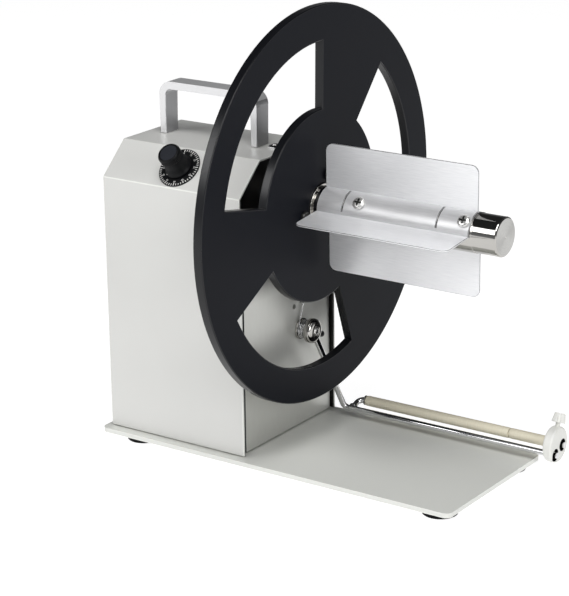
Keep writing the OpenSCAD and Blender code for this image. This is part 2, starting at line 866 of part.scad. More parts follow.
module potentiometer() {
    color("#6f7275")
    on_slope()
    difference() {
        union() {
            translate([0, 0, -sheet_t - pot_l]) cylinder(d = pot_d, h = pot_l);
            translate([0, 0, -sheet_t - past])
                cylinder(d = bush_thread_d, h = sheet_t + past + dial_t + nut_t + 1);
            for (i = [-1:1]) translate([i * 5 - 0.75, -pot_d / 2 - 4, -sheet_t - 6]) cube([1.5, 6, 0.8]);
        }
        translate([0, 0, -sheet_t - pot_l + 3]) cylinder(d = pot_shaft_d + 2 * run_fit, h = pot_l + 20);
    }
}

module pot_nut() {
    color(steel)
    on_slope() translate([0, 0, dial_t]) hex_nut(nut_af, nut_t, bush_thread_d + 2 * seat_fit);
}

module dial_plate() {
    color(black_paint)
    on_slope()
    difference() {
        cylinder(d = dial_d, h = dial_t);
        translate([0, 0, -past]) cylinder(d = bush_thread_d + 2 * seat_fit, h = dial_t + 2 * past);
    }
}

module pot_shaft() {
    color(steel)
    on_slope() translate([0, 0, -sheet_t - pot_l + 3 + gap])
        cylinder(d = pot_shaft_d, h = sheet_t + pot_l - 3 - gap + knob_h - 3);
}

module control_knob() {
    foot = dial_t + knob_foot - 1;
    color(dark_plastic)
    on_slope()
    difference() {
        rotate_extrude()
            polygon([[0, foot], [knob_skirt_d / 2, foot], [knob_skirt_d / 2, foot + 1],
                     [knob_d / 2 + 1, foot + 2.4], [knob_d / 2 + 0.5, foot + 4.2],
                     [knob_d / 2 + 0.5, knob_h - 1.6], [knob_d / 2, knob_h - 0.6],
                     [knob_d / 2 - 0.6, knob_h], [0, knob_h]]);
        translate([0, 0, foot - past]) cylinder(d = knob_hollow_d, h = knob_hollow_h + past);
        translate([0, 0, foot]) cylinder(d = pot_shaft_d + 2 * seat_fit, h = knob_h - 2.9 - foot);
        rotate(knob_sweep / 2) translate([-0.4, knob_d / 2 - 3, knob_h - 0.4]) cube([0.8, 4, 2]);
    }
}

// Power switch on the top

module button_body() {
    color(dark_plastic)
    on_button()
    difference() {
        union() {
            translate([-button_body_size[0] / 2, -button_body_size[1] / 2, -sheet_t - button_body_size[2]])
                cube(button_body_size);
            translate([0, 0, -sheet_t - past])
                cylinder(d = button_thread_d, h = sheet_t + past + button_bush_h);
            for (i = [-1, 1]) translate([-0.4, i * 2.5 - 1, -sheet_t - button_body_size[2] - 3])
                cube([0.8, 2, 4]);
        }
        translate([0, 0, button_bush_h - button_sink])
            cylinder(d = button_d + 2 * run_fit, h = button_sink + past);
    }
}

module button_nut() {
    color(chrome) on_button() hex_nut(button_nut_af, button_nut_t, button_thread_d + 2 * seat_fit);
}

module push_button() {
    button_l = button_sink - gap;
    color(dark_plastic)
    on_button() translate([0, 0, button_bush_h + button_travel - button_l]) {
        cylinder(d = button_d, h = button_l - 0.3);
        translate([0, 0, button_l - 0.3]) cylinder(d1 = button_d, d2 = button_d - 0.6, h = 0.3);
    }
}

// Spindle

module spindle_shaft() {
    color(chrome)
    on_axis()
    difference() {
        union() {
            bar_x(journal_d, journal_end_x, panel_in_x + past);
            bar_x(shaft_d, panel_in_x + gap, seat_x0);
            bar_x(seat_d, seat_x0 - past, shaft_end_x - shaft_bevel);
            translate([shaft_end_x - shaft_bevel, 0, 0]) rotate([0, 90, 0])
                cylinder(d1 = seat_d, d2 = seat_d - 2 * shaft_bevel, h = shaft_bevel);
        }
        tube_x(journal_d + 2, groove_d, bracket_x1 - circlip_t - seat_fit, bracket_x1 + seat_fit);
        blade_screw_places() translate([0, 0, -blade_screw_l - 1])
            cylinder(d = blade_screw_d + 2 * seat_fit, h = blade_screw_l + 10);
    }
}

hub_points = [for (i = [0:2]) [0, hub_screw_r, 60 + window_turn + 120 * i]];

module hub_screw_places() {
    for (p = hub_points) rotate([p[2], 0, 0]) translate([0, p[1], 0]) children();
}

module disc_hub() {
    color(chrome)
    on_axis()
    difference() {
        union() {
            bar_x(hub_d, disc_back_x - hub_flange_t, disc_back_x);
            bar_x(hub_sleeve_d, panel_out_x + 4, disc_back_x - past);
            bar_x(hub_boss_d, disc_back_x - past, disc_front_x + hub_boss_proud);
        }
        bar_x(shaft_d + 2 * seat_fit, panel_out_x, disc_front_x + 2 * past);
        hub_screw_places() bar_x(m4[0] + 2 * seat_fit, disc_back_x - hub_flange_t - past, disc_back_x + past);
        rotate([window_turn, 0, 0]) translate([panel_out_x + 8, 0, 0]) cylinder(d = 4, h = hub_d);
    }
}

module flange_disc() {
    color(black_paint)
    on_axis()
    difference() {
        slab_x(disc_back_x, disc_front_x)
            difference() {
                circle(d = disc_d, $fn = 128);
                circle(d = hub_boss_d + 2 * seat_fit);
                for (i = [0:2]) rotate(window_turn + 120 * i)
                    intersection() {
                        difference() {
                            circle(window_r_out, $fn = 128);
                            circle(window_r_in, $fn = 128);
                        }
                        polygon([[0, 0], polar(2 * window_r_out, -window_span / 2),
                                 polar(2 * window_r_out, window_span / 2)]);
                    }
            }
        hub_screw_places() bar_x(m4[0] + 2 * seat_fit, disc_back_x - past, disc_front_x + past);
    }
}

module hub_screws() {
    color(steel)
    on_axis() hub_screw_places()
        translate([disc_front_x, 0, 0]) rotate([0, 90, 0]) pan_screw(m4, disc_t + hub_flange_t, cross = true);
}

// Core holder: two bent sheets, each a wrap over a quarter of the shaft with a blade at each edge

module blade_screw_places() {
    for (turn = [0, 180], x = blade_screw_x) rotate([turn, 0, 0])
        translate([blade_x0 + x, 0, 0]) rotate([blade_screw_a, 0, 0]) translate([0, 0, wrap_r + blade_t])
            children();
}

// A negative droop turns the level blade towards its own wrap
module core_sheet(droop) {
    edge = blade_offset;
    wrap_edge = blade_offset + blade_t / 2;
    far = wrap_r + blade_t;
    root = far - 2 * blade_t;
    difference() {
        union() {
            slab_x(blade_x0 + wrap_inset, blade_x1 - wrap_inset)
                intersection() {
                    difference() {
                        circle(far);
                        circle(root);
                    }
                    translate([-far - past, -far]) square([far + past - wrap_edge, 2 * far + past]);
                    rotate(droop) translate([-far - past, wrap_edge]) square(2 * (far + past));
                }
            translate([blade_x0, -edge, root]) rotate([90, 0, 0])
                linear_extrude(blade_t) tab_2d(blade_l, blade_r - root, blade_corner_r);
            rotate([droop, 0, 0]) translate([blade_x0, -root, edge]) mirror([0, 1, 0])
                linear_extrude(blade_t) tab_2d(blade_l, side_blade_r - root, blade_corner_r);
        }
        bar_x(2 * wrap_r, blade_x0 - past, blade_x1 + past);
        for (x = slit_x)
            slab_x(blade_x0 + x - slit_w / 2, blade_x0 + x + slit_w / 2)
                intersection() {
                    circle(far + past);
                    polygon([[0, 0], polar(2 * far, 90 + slit_inset_a), 2 * far * [-1, 1],
                             polar(2 * far, 180 - slit_inset_a)]);
                }
        blade_screw_places() translate([0, 0, -4 * blade_t])
            cylinder(d = blade_screw_d + 2 * seat_fit, h = 8 * blade_t);
    }
}

module core_sheet_a() { color(steel) on_axis() core_sheet(front_droop); }

module core_sheet_b() { color(steel) on_axis() rotate([180, 0, 0]) core_sheet(-back_droop); }

module blade_screws() {
    color(chrome)
    on_axis() blade_screw_places()
        translate([0, 0, seat_fit]) pan_screw(blade_screw_head, blade_screw_l, cross = true);
}

// Swing arm

module pivot_bush() {
    color(brass)
    difference() {
        union() {
            bar_x(bush_d, panel_in_x - bush_in, panel_out_x + past, pivot_y, pivot_z);
            bar_x(bush_flange_d, panel_out_x, panel_out_x + bush_flange_t, pivot_y, pivot_z);
        }
        bar_x(pivot_d + 2 * run_fit, panel_in_x - bush_in - past, panel_out_x + bush_flange_t + past,
              pivot_y, pivot_z);
    }
}

module pivot_shaft() {
    color(chrome)
    bar_x(pivot_d, pivot_in_x, hub_arm_x1 - 2, pivot_y, pivot_z);
}

module on_pivot() { translate([0, pivot_y, pivot_z]) children(); }

// Turned so that +Z runs down the arm's plane
module along_arm() { on_pivot() rotate([180 + arm_a, 0, 0]) children(); }

// The arm's straight rod, which leans out from the hub's middle to the lower corner
module arm_rod(d) {
    reach = arm_len / cos(arm_lean) - rod_seat_r;
    translate([corner_x, 0, arm_len]) rotate([0, arm_lean, 0]) translate([0, 0, -reach])
        cylinder(d = d, h = reach - bend_cut + bend_lap);
}

module pivot_hub() {
    color(chrome)
    difference() {
        on_pivot() translate([hub_arm_x0, 0, 0]) rotate([0, 90, 0])
            rotate_extrude()
                polygon([[0, 0], [hub_arm_d / 2 - 0.8, 0], [hub_arm_d / 2, 0.8],
                         [hub_arm_d / 2, hub_arm_x1 - hub_arm_x0 - 2.4],
                         [hub_arm_d / 2 - 0.8, hub_arm_x1 - hub_arm_x0 - 1],
                         [hub_arm_d / 2 - 2.6, hub_arm_x1 - hub_arm_x0], [0, hub_arm_x1 - hub_arm_x0]]);
        bar_x(pivot_d + 2 * seat_fit, hub_arm_x0 - past, hub_arm_x1 - 2 + seat_fit, pivot_y, pivot_z);
        along_arm() arm_rod(rod_d + 2 * seat_fit);
        bar_x(spring_wire + 4 * gap, hub_arm_x0 - past, hub_arm_x0 + 5,
              pivot_y + spring_r * cos(spring_end_a), pivot_z + spring_r * sin(spring_end_a));
        clamp_place() translate([0, 0, -hub_arm_d / 2]) cylinder(d = clamp_d + 2 * seat_fit, h = hub_arm_d);
    }
}

module clamp_place() {
    on_pivot() translate([hub_mid_x, 0, 0]) rotate([clamp_a - 90, 0, 0])
        translate([0, 0, hub_arm_d / 2]) children();
}

module clamp_screw() {
    color(dark_plastic)
    clamp_place()
    difference() {
        union() {
            cylinder(d = clamp_head_d, h = clamp_head_h);
            translate([0, 0, (pivot_d - hub_arm_d) / 2 + seat_fit])
                cylinder(d = clamp_d, h = (hub_arm_d - pivot_d) / 2);
        }
        translate([0, 0, clamp_head_h - 1.6]) cylinder(d = 2.3, h = 3, $fn = 6);
    }
}

// Lower rod with its bend and arm, and the roller rod that is brazed to it. The bend is swollen a little,
// and the straight rods end inside it.
module swing_arm() {
    color(chrome)
    union() {
        along_arm() {
            arm_rod(rod_d);
            translate([corner_x + bend_cut, 0, arm_len - bend_r]) rotate([90, 0, 180]) rotate(arm_lean)
                rotate_extrude(angle = 90 - arm_lean) translate([bend_r, 0]) circle(d = rod_d + bend_swell);
            bar_x(rod_d, corner_x + bend_cut - bend_lap, rod_end_x, 0, arm_len);
        }
        bar_x(rod_d, rear_bend_x, rod_end_x, rear_rod_y, rear_rod_z);
        translate([rear_bend_x, rear_rod_y, rear_rod_z]) rotate([rear_a, 0, 0]) {
            translate([0, -rear_bend_r, 0]) rotate(90)
                rotate_extrude(angle = 90) translate([rear_bend_r, 0]) circle(d = rod_d);
            translate([-rear_bend_r, -rear_bend_r, 0]) rotate([90, 0, 0])
                cylinder(d1 = rod_d, d2 = rod_d - 0.4, h = rear_gap - rear_bend_r);
        }
    }
}

module roller_clips() {
    color(steel)
    for (x = [rear_bend_x + seat_fit, roller_x1 + gap])
        tube_x(clip_d, rod_d + 2 * seat_fit, x, x + clip_t - seat_fit, rear_rod_y, rear_rod_z);
}

module roller(x0, x1) {
    color("#d8cfae") tube_x(roller_d, rod_d + 2 * run_fit, x0, x1, rear_rod_y, rear_rod_z);
}

module roller_long() { roller(roller_x0, roller_split_x); }

module roller_short() { roller(roller_split_x + gap, roller_x1); }

// Spiral cam: the radius at the plunger grows evenly as the arm swings up
function cam_radius(a) =
    let (turn = 180 - a)
    turn < -20 || turn > 70 ? cam_r - 0.6 : cam_r + cam_slope * turn * PI / 180;

module switch_cam() {
    color(nylon)
    on_pivot()
    difference() {
        slab_x(cam_x1 - cam_t, cam_x1)
            polygon([for (a = [0:5:355]) cam_radius(a) * [cos(a), sin(a)]]);
        bar_x(pivot_d + 2 * seat_fit, cam_x1 - cam_t - past, cam_x1 + past);
    }
}

switch_x = cam_x1 - cam_t / 2;

module switch_plunger() {
    color("#c03028")
    translate([switch_x, plunger_y, pivot_z]) rotate([90, 0, 0]) cylinder(d = plunger_d, h = plunger_l);
}

switch_hole_z = 4.75;

module micro_switch() {
    color(dark_plastic)
    translate([switch_x - switch_size[0] / 2, switch_y - switch_size[1], pivot_z - switch_size[2] / 2])
    difference() {
        cube(switch_size);
        translate([switch_size[0] / 2, switch_size[1] + past, switch_size[2] / 2]) rotate([90, 0, 0])
            cylinder(d = plunger_d + 2 * run_fit, h = plunger_l + 2 + past);
    }
}

module switch_bracket() {
    y1 = switch_y - switch_size[1];
    color(steel)
    difference() {
        union() {
            translate([switch_x - switch_size[0] / 2, y1 - switch_bracket_t, pivot_z - 12])
                cube([panel_in_x - switch_x + switch_size[0] / 2, switch_bracket_t, 24]);
            translate([panel_in_x - switch_bracket_t, y1 - 10, pivot_z - 12])
                cube([switch_bracket_t, 10, 24]);
        }
        for (z = [-1, 1]) translate([switch_x, y1 + past, pivot_z + z * switch_hole_z]) rotate([90, 0, 0])
            cylinder(d = 2.2, h = switch_bracket_t + 2 * past);
    }
}

// Torsion spring: hook in the panel, straight leg, curls, and a straight end in the hub
spring_rings = 12;
spring_sides = 6;
spring_end_a = spring_leg_a + 360 * spring_curls;
spring_steps = spring_rings * spring_curls;
spring_bend = 1.2;

// A place on the fixed leg, by its distance from the curls
function leg_point(reach) = polar(spring_r, spring_leg_a) + reach * polar(1, spring_leg_a - 90);

function curl_point(i) =
    let (turns = i / spring_rings)
    concat([spring_x0 + spring_pitch * turns], polar(spring_r, spring_leg_a + 360 * turns));

spring_path = concat(
    [for (x = [panel_in_x + 0.2, spring_x0 - spring_bend]) concat([x], leg_point(spring_leg))],
    [for (a = [30:30:60])
        concat([spring_x0 - spring_bend * (1 - sin(a))], leg_point(spring_leg - spring_bend * (1 - cos(a))))],
    [for (f = [0:3]) concat([spring_x0], leg_point((spring_leg - spring_bend) * (1 - f / 4)))],
    [for (i = [0:spring_steps]) curl_point(i)],
    [for (f = [1:2]) curl_point(spring_steps) + [1.4 * f, 0, 0]]);

function unit(v) = v / norm(v);
function path_way(p, i) = unit(p[min(i + 1, len(p) - 1)] - p[max(i - 1, 0)]);
function ring_points(p, i, r, sides) =
    let (way = path_way(p, i), out = [0, p[i][1], p[i][2]],
         side = unit(out - (out * way) * way), up = cross(way, side))
    [for (k = [0:sides - 1]) p[i] + r * (cos(360 * k / sides) * side + sin(360 * k / sides) * up)];

// One closed tube along a path, in triangles
module swept_tube(p, d, sides) {
    n = len(p);
    points = [for (i = [0:n - 1]) each ring_points(p, i, d / 2, sides)];
    walls = [for (i = [0:n - 2], k = [0:sides - 1])
        let (a = i * sides + k, b = i * sides + (k + 1) % sides)
        each [[a, b, a + sides], [b, b + sides, a + sides]]];
    ends = [for (k = [1:sides - 2]) each
        [[0, k + 1, k], [(n - 1) * sides, (n - 1) * sides + k, (n - 1) * sides + k + 1]]];
    polyhedron(points, concat(walls, ends));
}

spring_gap = min([for (i = [0:len(spring_path) - 1], j = [i + spring_rings - 2:1:len(spring_path) - 1])
    norm(spring_path[i] - spring_path[j])]) - spring_wire;
echo(spring_least_gap = spring_gap);

module torsion_spring() {
    color(chrome) on_pivot() swept_tube(spring_path, spring_wire, spring_sides);
}

// Edge guide: runs on the lower rod, passes over the rollers, and is held by the thumb screw

module on_thumb_screw() {
    translate([guide_mid_x, low_rod_y, low_rod_z]) rotate([-thumb_tilt, 0, 0]) children();
}

module edge_guide() {
    color(nylon)
    difference() {
        translate([guide_x0, guide_y, guide_z]) rotate([0, 90, 0])
            rotate_extrude($fn = 96)
                polygon([[0, 0], [guide_d / 2 - guide_bevel, 0], [guide_d / 2, guide_bevel],
                         [guide_d / 2, guide_t - guide_bevel], [guide_d / 2 - guide_bevel, guide_t],
                         [0, guide_t]]);
        bar_x(rod_d + 2 * run_fit, guide_x0 - past, guide_x1 + past, low_rod_y, low_rod_z);
        bar_x(guide_hole_d, guide_x1 - guide_sink, guide_x1 + past, low_rod_y, low_rod_z);
        bar_x(guide_hole_d, guide_x0 - past, guide_x1 + past, rear_rod_y, rear_rod_z);
        on_thumb_screw() cylinder(d = thumb_screw_d + 2 * run_fit, h = guide_d + 10);
    }
}

module thumb_screw() {
    color(nylon)
    on_thumb_screw() {
        translate([0, 0, rod_d / 2 + gap])
            cylinder(d = thumb_screw_d, h = thumb_seat + thumb_neck + past - rod_d / 2 - gap);
        translate([0, 0, thumb_seat + thumb_neck]) rotate(thumb_turn)
            difference() {
                cylinder(d1 = thumb_head_d, d2 = thumb_head_d - 2 * thumb_taper, h = thumb_head_h);
                for (i = [1:thumb_flutes]) rotate(360 / thumb_flutes * i) translate([thumb_head_d / 2, 0, 0])
                    rotate([0, -atan2(thumb_taper, thumb_head_h), 0])
                        translate([0, 0, -past]) cylinder(d = thumb_flute_d, h = thumb_head_h + 2 * past);
            }
    }
}

base_plate();
rubber_feet();
foot_screws();
housing_cover();
drive_panel();
base_screws();
carry_handle();
handle_screws();
bearing_housing();
bearing_screws();
bearing_outer_races();
motor_standoffs();
motor_bracket();
gearbox_case();
motor_can();
drive_screws();
control_board();
board_parts();
board_standoffs();
board_screws();
potentiometer();
pot_nut();
dial_plate();
button_body();
button_nut();
power_inlet();
inlet_nut();
pivot_bush();
switch_bracket();
micro_switch();
spindle_shaft();
disc_hub();
flange_disc();
hub_screws();
core_sheet_a();
core_sheet_b();
blade_screws();
bearing_inner_races();
bearing_balls();
gear_spacer();
spindle_gear();
shaft_circlip();
motor_shaft();
motor_pinion();
control_knob();
pot_shaft();
push_button();
swing_arm();
pivot_hub();
clamp_screw();
pivot_shaft();
switch_cam();
roller_clips();
torsion_spring();
switch_plunger();
roller_long();
roller_short();
edge_guide();
thumb_screw();
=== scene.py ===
# Looks of the bench label rewinder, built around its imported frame.
# Sizes are in millimetres, as in the part's source, and become metres where a mesh is made.
import json
import math

import bmesh
import bpy
from mathutils import Matrix, Vector


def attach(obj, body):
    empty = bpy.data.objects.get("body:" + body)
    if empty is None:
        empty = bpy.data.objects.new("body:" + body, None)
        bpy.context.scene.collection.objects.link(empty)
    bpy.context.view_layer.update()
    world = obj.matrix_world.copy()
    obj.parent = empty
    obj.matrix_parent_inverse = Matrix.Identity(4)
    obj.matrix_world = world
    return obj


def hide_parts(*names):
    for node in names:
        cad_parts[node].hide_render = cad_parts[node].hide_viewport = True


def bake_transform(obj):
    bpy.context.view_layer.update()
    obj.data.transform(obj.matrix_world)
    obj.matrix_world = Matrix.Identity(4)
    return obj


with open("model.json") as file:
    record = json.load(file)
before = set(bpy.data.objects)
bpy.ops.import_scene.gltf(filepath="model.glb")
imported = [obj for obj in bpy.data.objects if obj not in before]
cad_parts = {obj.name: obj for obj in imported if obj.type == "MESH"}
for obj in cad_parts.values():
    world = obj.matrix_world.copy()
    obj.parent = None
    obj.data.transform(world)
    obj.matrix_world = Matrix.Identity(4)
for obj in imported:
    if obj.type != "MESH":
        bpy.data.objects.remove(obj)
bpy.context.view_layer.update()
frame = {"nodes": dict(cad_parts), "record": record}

MM = 0.001

# Places along X, Y and Z, from the part's source
SIDE_X = -30.25
PANEL_OUT_X = SIDE_X - 2.5
DISC_BACK_X = SIDE_X + 19.5
DISC_FRONT_X = DISC_BACK_X + 6
BLADE_X0 = DISC_FRONT_X + 4.5
BLADE_X1 = BLADE_X0 + 107.5
SHAFT_END_X = SIDE_X + 155
ROD_END_X = SIDE_X + 170.5
BASE_Z = 7.5
FOOT_H = 4.5
TOP_Z = BASE_Z + 188
AXIS_Z = BASE_Z + 156
ROLLED_R = 14.2
BLADE_SCREW_X = (29.5, 102.8)
BLADE_SCREW_TURNS = (50, 230)
BLADE_SCREW_SEAT_R = 13.56
HUB_SCREW_R = 20
HUB_SCREW_TURN = 68.7
PIVOT_Y = 16
PIVOT_Z = BASE_Z + 66.1
LOW_Y = 43.5
LOW_Z = BASE_Z + 6.5
REAR_Y = LOW_Y + 9.1
REAR_Z = LOW_Z + 3.9
SLOPE_A = math.atan2(20, 22)
DIAL = Vector((SIDE_X - 53, -52 + 11, TOP_Z - 10))
ON_SLOPE = Matrix.Translation(DIAL) @ Matrix.Rotation(SLOPE_A, 4, "X")
DIAL_T = 0.8
DIAL_TURN = 140
SPRING_X0 = PANEL_OUT_X + 2.2
SPRING_PITCH = 1.25
SPRING_CURLS = 3
SPRING_X1 = SPRING_X0 + SPRING_CURLS * SPRING_PITCH
HUB_X0 = SPRING_X1 + 0.7
HUB_X1 = HUB_X0 + 5.6
CORNER_X = SIDE_X + 13
REAR_BEND_X = SIDE_X + 23.5
ROLLER_X0 = REAR_BEND_X + 1.1
ROLLER_SPLIT_X = ROLLER_X0 + 107
ROLLER_X1 = ROLLER_SPLIT_X + 28.8
GUIDE_HOLE_R = 4.1
GUIDE_HOLE_DEPTH = 1.8

# How the copies of the frame's solids are cleaned and rounded
WELD = 0.002
FLAT_DEGREES = 0.2
SHARP_DEGREES = 28
BEVEL_SEGMENTS = 3
# A wide face has this many square millimetres, and a stray normal a smaller cosine to its face
WIDE_FACE = 20
STRAY_NORMAL = 0.97

# Gaps that show as dark seams round the housing
FOOT_SEAM = 0.7
PANEL_FRONT_SEAM = 4.4
PANEL_BACK_SEAM = 0.8
PANEL_EDGE_Y = 48.2

# Camera at the photograph's place: turned a little about its own view line
CAMERA_AT = Vector((736.2, -1104.1, 536.9))
LOOKS_AT = Vector((-32.1, -2.7, 99.3))
ROLL = math.radians(0.76)
LENS = 134.8


def add_camera():
    """The camera, with its long side level apart from the roll."""
    ahead = (LOOKS_AT - CAMERA_AT).normalized()
    right = ahead.cross(Vector((0, 0, 1))).normalized()
    down = ahead.cross(right)
    right, down = (right * math.cos(ROLL) + down * math.sin(ROLL),
                   down * math.cos(ROLL) - right * math.sin(ROLL))
    camera = bpy.data.objects.new("camera", bpy.data.cameras.new("camera"))
    turn = Matrix((right, -down, -ahead)).transposed().to_4x4()
    camera.matrix_world = Matrix.Translation(CAMERA_AT * MM) @ turn
    camera.data.lens = LENS
    camera.data.clip_end = 20
    bpy.context.scene.collection.objects.link(camera)
    bpy.context.scene.camera = camera


add_camera()


# Nodes and colours

def linear(code):
    """A hex colour as linear light, with full alpha."""
    parts = [int(code[i:i + 2], 16) / 255 for i in (1, 3, 5)]
    return tuple(p / 12.92 if p <= 0.04045 else ((p + 0.055) / 1.055) ** 2.4 for p in parts) + (1.0,)


def add(tree, kind, inputs=None, **settings):
    """Adds one node with its settings, its constants and the links into it."""
    made = tree.nodes.new(kind)
    for name, value in settings.items():
        setattr(made, name, value)
    for key, value in (inputs or {}).items():
        if isinstance(value, bpy.types.NodeSocket):
            tree.links.new(value, made.inputs[key])
        else:
            made.inputs[key].default_value = value
    return made


def new_material(name, **sockets):
    """A material with its shader's sockets set, its tree, its shader and its Object coordinates."""
    material = bpy.data.materials.new(name)
    material.use_nodes = True
    tree = material.node_tree
    tree.nodes.clear()
    shader = add(tree, "ShaderNodeBsdfPrincipled")
    for key, value in sockets.items():
        shader.inputs[key.replace("_", " ")].default_value = value
    add(tree, "ShaderNodeOutputMaterial", {"Surface": shader.outputs[0]})
    place = add(tree, "ShaderNodeTexCoord").outputs["Object"]
    return material, tree, shader, place


def feed(tree, shader, **sources):
    """Links outputs to a shader's sockets, which are named with underscores for spaces."""
    for key, source in sources.items():
        tree.links.new(source, shader.inputs[key.replace("_", " ")])


def paint(name, dark, light, rough, grain_mm, bump, patch_mm=60, **sockets):
    """Sprayed and baked coat: a fine orange peel over a colour that varies a little."""
    material, tree, shader, place = new_material(name, **sockets)
    peel = add(tree, "ShaderNodeTexNoise", {"Vector": place, "Scale": 1 / (grain_mm * MM), "Detail": 2.0})
    patch = add(tree, "ShaderNodeTexNoise", {"Vector": place, "Scale": 1 / (patch_mm * MM), "Detail": 3.0})
    colour = add(tree, "ShaderNodeMix", {0: patch.outputs[0], 6: linear(dark), 7: linear(light)},
                 data_type="RGBA")
    gloss = add(tree, "ShaderNodeMapRange",
                {0: patch.outputs[0], 1: 0.0, 2: 1.0, 3: rough - 0.06, 4: rough + 0.06})
    bumps = add(tree, "ShaderNodeBump",
                {"Height": peel.outputs[0], "Strength": bump, "Distance": 0.06 * MM})
    feed(tree, shader, Base_Color=colour.outputs[2], Roughness=gloss.outputs[0], Normal=bumps.outputs[0])
    return material


def metal(name, dark, light, rough, smear=(1, 1, 1), grain_mm=8, bump=0.0, spread=0.03, metallic=1.0):
    """Bare or plated metal. smear stretches the pattern along an axis, as brushing or drawing does."""
    material, tree, shader, place = new_material(name, Metallic=metallic)
    laid = add(tree, "ShaderNodeMapping", {"Vector": place, "Scale": smear})
    grain = add(tree, "ShaderNodeTexNoise",
                {"Vector": laid.outputs[0], "Scale": 1 / (grain_mm * MM), "Detail": 4.0})
    colour = add(tree, "ShaderNodeMix", {0: grain.outputs[0], 6: linear(dark), 7: linear(light)},
                 data_type="RGBA")
    gloss = add(tree, "ShaderNodeMapRange",
                {0: grain.outputs[0], 1: 0.3, 2: 0.7, 3: rough - spread, 4: rough + spread})
    feed(tree, shader, Base_Color=colour.outputs[2], Roughness=gloss.outputs[0])
    if bump:
        lines = add(tree, "ShaderNodeBump",
                    {"Height": grain.outputs[0], "Strength": bump, "Distance": 0.05 * MM})
        feed(tree, shader, Normal=lines.outputs[0])
    return material


def painted_shade_above(material, low, high, dark):
    """Paints shade into a finish, darker from one height to another."""
    tree = material.node_tree
    of_kind = {node.bl_idname: node for node in tree.nodes}
    shader = of_kind["ShaderNodeBsdfPrincipled"]
    plain = shader.inputs["Base Color"].links[0].from_socket
    place = of_kind["ShaderNodeTexCoord"].outputs["Object"]
    height = add(tree, "ShaderNodeSeparateXYZ", {0: place}).outputs[2]
    share = add(tree, "ShaderNodeMapRange", {0: height, 1: low * MM, 2: high * MM, 3: 0.0, 4: 1.0})
    mixed = add(tree, "ShaderNodeMix", {0: share.outputs[0], 6: plain, 7: linear(dark)}, data_type="RGBA")
    feed(tree, shader, Base_Color=mixed.outputs[2])


def plastic(name, dark, light, rough, grain_mm, bump, **sockets):
    """Moulded plastic or rubber: an even colour with the mould's fine grain."""
    material, tree, shader, place = new_material(name, **sockets)
    grain = add(tree, "ShaderNodeTexNoise", {"Vector": place, "Scale": 1 / (grain_mm * MM), "Detail": 3.0})
    cloud = add(tree, "ShaderNodeTexNoise", {"Vector": place, "Scale": 1 / (9 * MM), "Detail": 2.0})
    colour = add(tree, "ShaderNodeMix", {0: cloud.outputs[0], 6: linear(dark), 7: linear(light)},
                 data_type="RGBA")
    gloss = add(tree, "ShaderNodeMapRange",
                {0: grain.outputs[0], 1: 0.3, 2: 0.7, 3: rough - 0.05, 4: rough + 0.05})
    bumps = add(tree, "ShaderNodeBump",
                {"Height": grain.outputs[0], "Strength": bump, "Distance": 0.05 * MM})
    feed(tree, shader, Base_Color=colour.outputs[2], Roughness=gloss.outputs[0], Normal=bumps.outputs[0])
    return material


def rings(name, dark, light, rough, spacing_mm, bump, along, centre=(0, 0, 0), **sockets):
    """Turned surface: fine tool marks round an axis, spaced along it or out from it."""
    material, tree, shader, place = new_material(name, **sockets)
    if along:
        way = add(tree, "ShaderNodeSeparateXYZ", {0: place}).outputs[0]
    else:
        flat = add(tree, "ShaderNodeMapping", {"Vector": place, "Location": [-c * MM for c in centre],
                                               "Scale": (0, 1, 1)})
        way = add(tree, "ShaderNodeVectorMath", {0: flat.outputs[0]}, operation="LENGTH").outputs["Value"]
        round_axis = add(tree, "ShaderNodeTangent", direction_type="RADIAL", axis="X")
        feed(tree, shader, Tangent=round_axis.outputs[0])
    marks = add(tree, "ShaderNodeTexNoise", {"W": way, "Scale": 1 / (spacing_mm * MM), "Detail": 3.0},
                noise_dimensions="1D")
    colour = add(tree, "ShaderNodeMix", {0: marks.outputs[0], 6: linear(dark), 7: linear(light)},
                 data_type="RGBA")
    gloss = add(tree, "ShaderNodeMapRange",
                {0: marks.outputs[0], 1: 0.3, 2: 0.7, 3: rough - 0.04, 4: rough + 0.04})
    bumps = add(tree, "ShaderNodeBump",
                {"Height": marks.outputs[0], "Strength": bump, "Distance": 0.04 * MM})
    feed(tree, shader, Base_Color=colour.outputs[2], Roughness=gloss.outputs[0], Normal=bumps.outputs[0])
    return material


# Powder-coated steel: pale grey, semi-gloss, with a soft orange peel drawn about 1 mm wide so that it shows
HOUSING_COAT = paint("powder_coat_pale_grey", "#cdcdca", "#d4d4d1", 0.34, grain_mm=1.1, bump=0.10)
# Painted highlight: the same coat drawn lighter on the rounded edges of the cover and the base
HIGHLIGHT_EDGE_COAT = paint("powder_coat_edge", "#dedfda", "#e6e7e2", 0.32, grain_mm=1.1, bump=0.06)
BASE_COAT = paint("powder_coat_base", "#d7d8d3", "#dcddd8", 0.30, grain_mm=1.1, bump=0.07, patch_mm=160)
# Satin aluminium bar for the handle: pale and soft, with faint lines along the bar
SATIN_ALUMINIUM = metal("satin_aluminium", "#dededf", "#e4e4e5", 0.30,
                        smear=(0.04, 1, 0.04), grain_mm=0.7, spread=0.01, metallic=0.6)
# Painted shade: the bar's two wide sides, drawn darker and a little duller than its rolled faces
SHADED_BAR_SIDE = metal("satin_aluminium_side", "#99999b", "#a3a3a5", 0.32,
                 smear=(0.04, 1, 0.04), grain_mm=0.7, spread=0.01, metallic=0.6)
# Satin steel sheet behind the disc: it mirrors the disc softly, with faint upright rolling marks
SATIN_STEEL = metal("satin_steel_sheet", "#c8c8c4", "#cecfca", 0.36,
                    smear=(1, 1, 0.3), grain_mm=3, spread=0.01, metallic=0.55)
# Painted shade: its top, close behind the disc's hub, is painted nearly black where the disc shades it
painted_shade_above(SATIN_STEEL, 104, 140, "#151515")
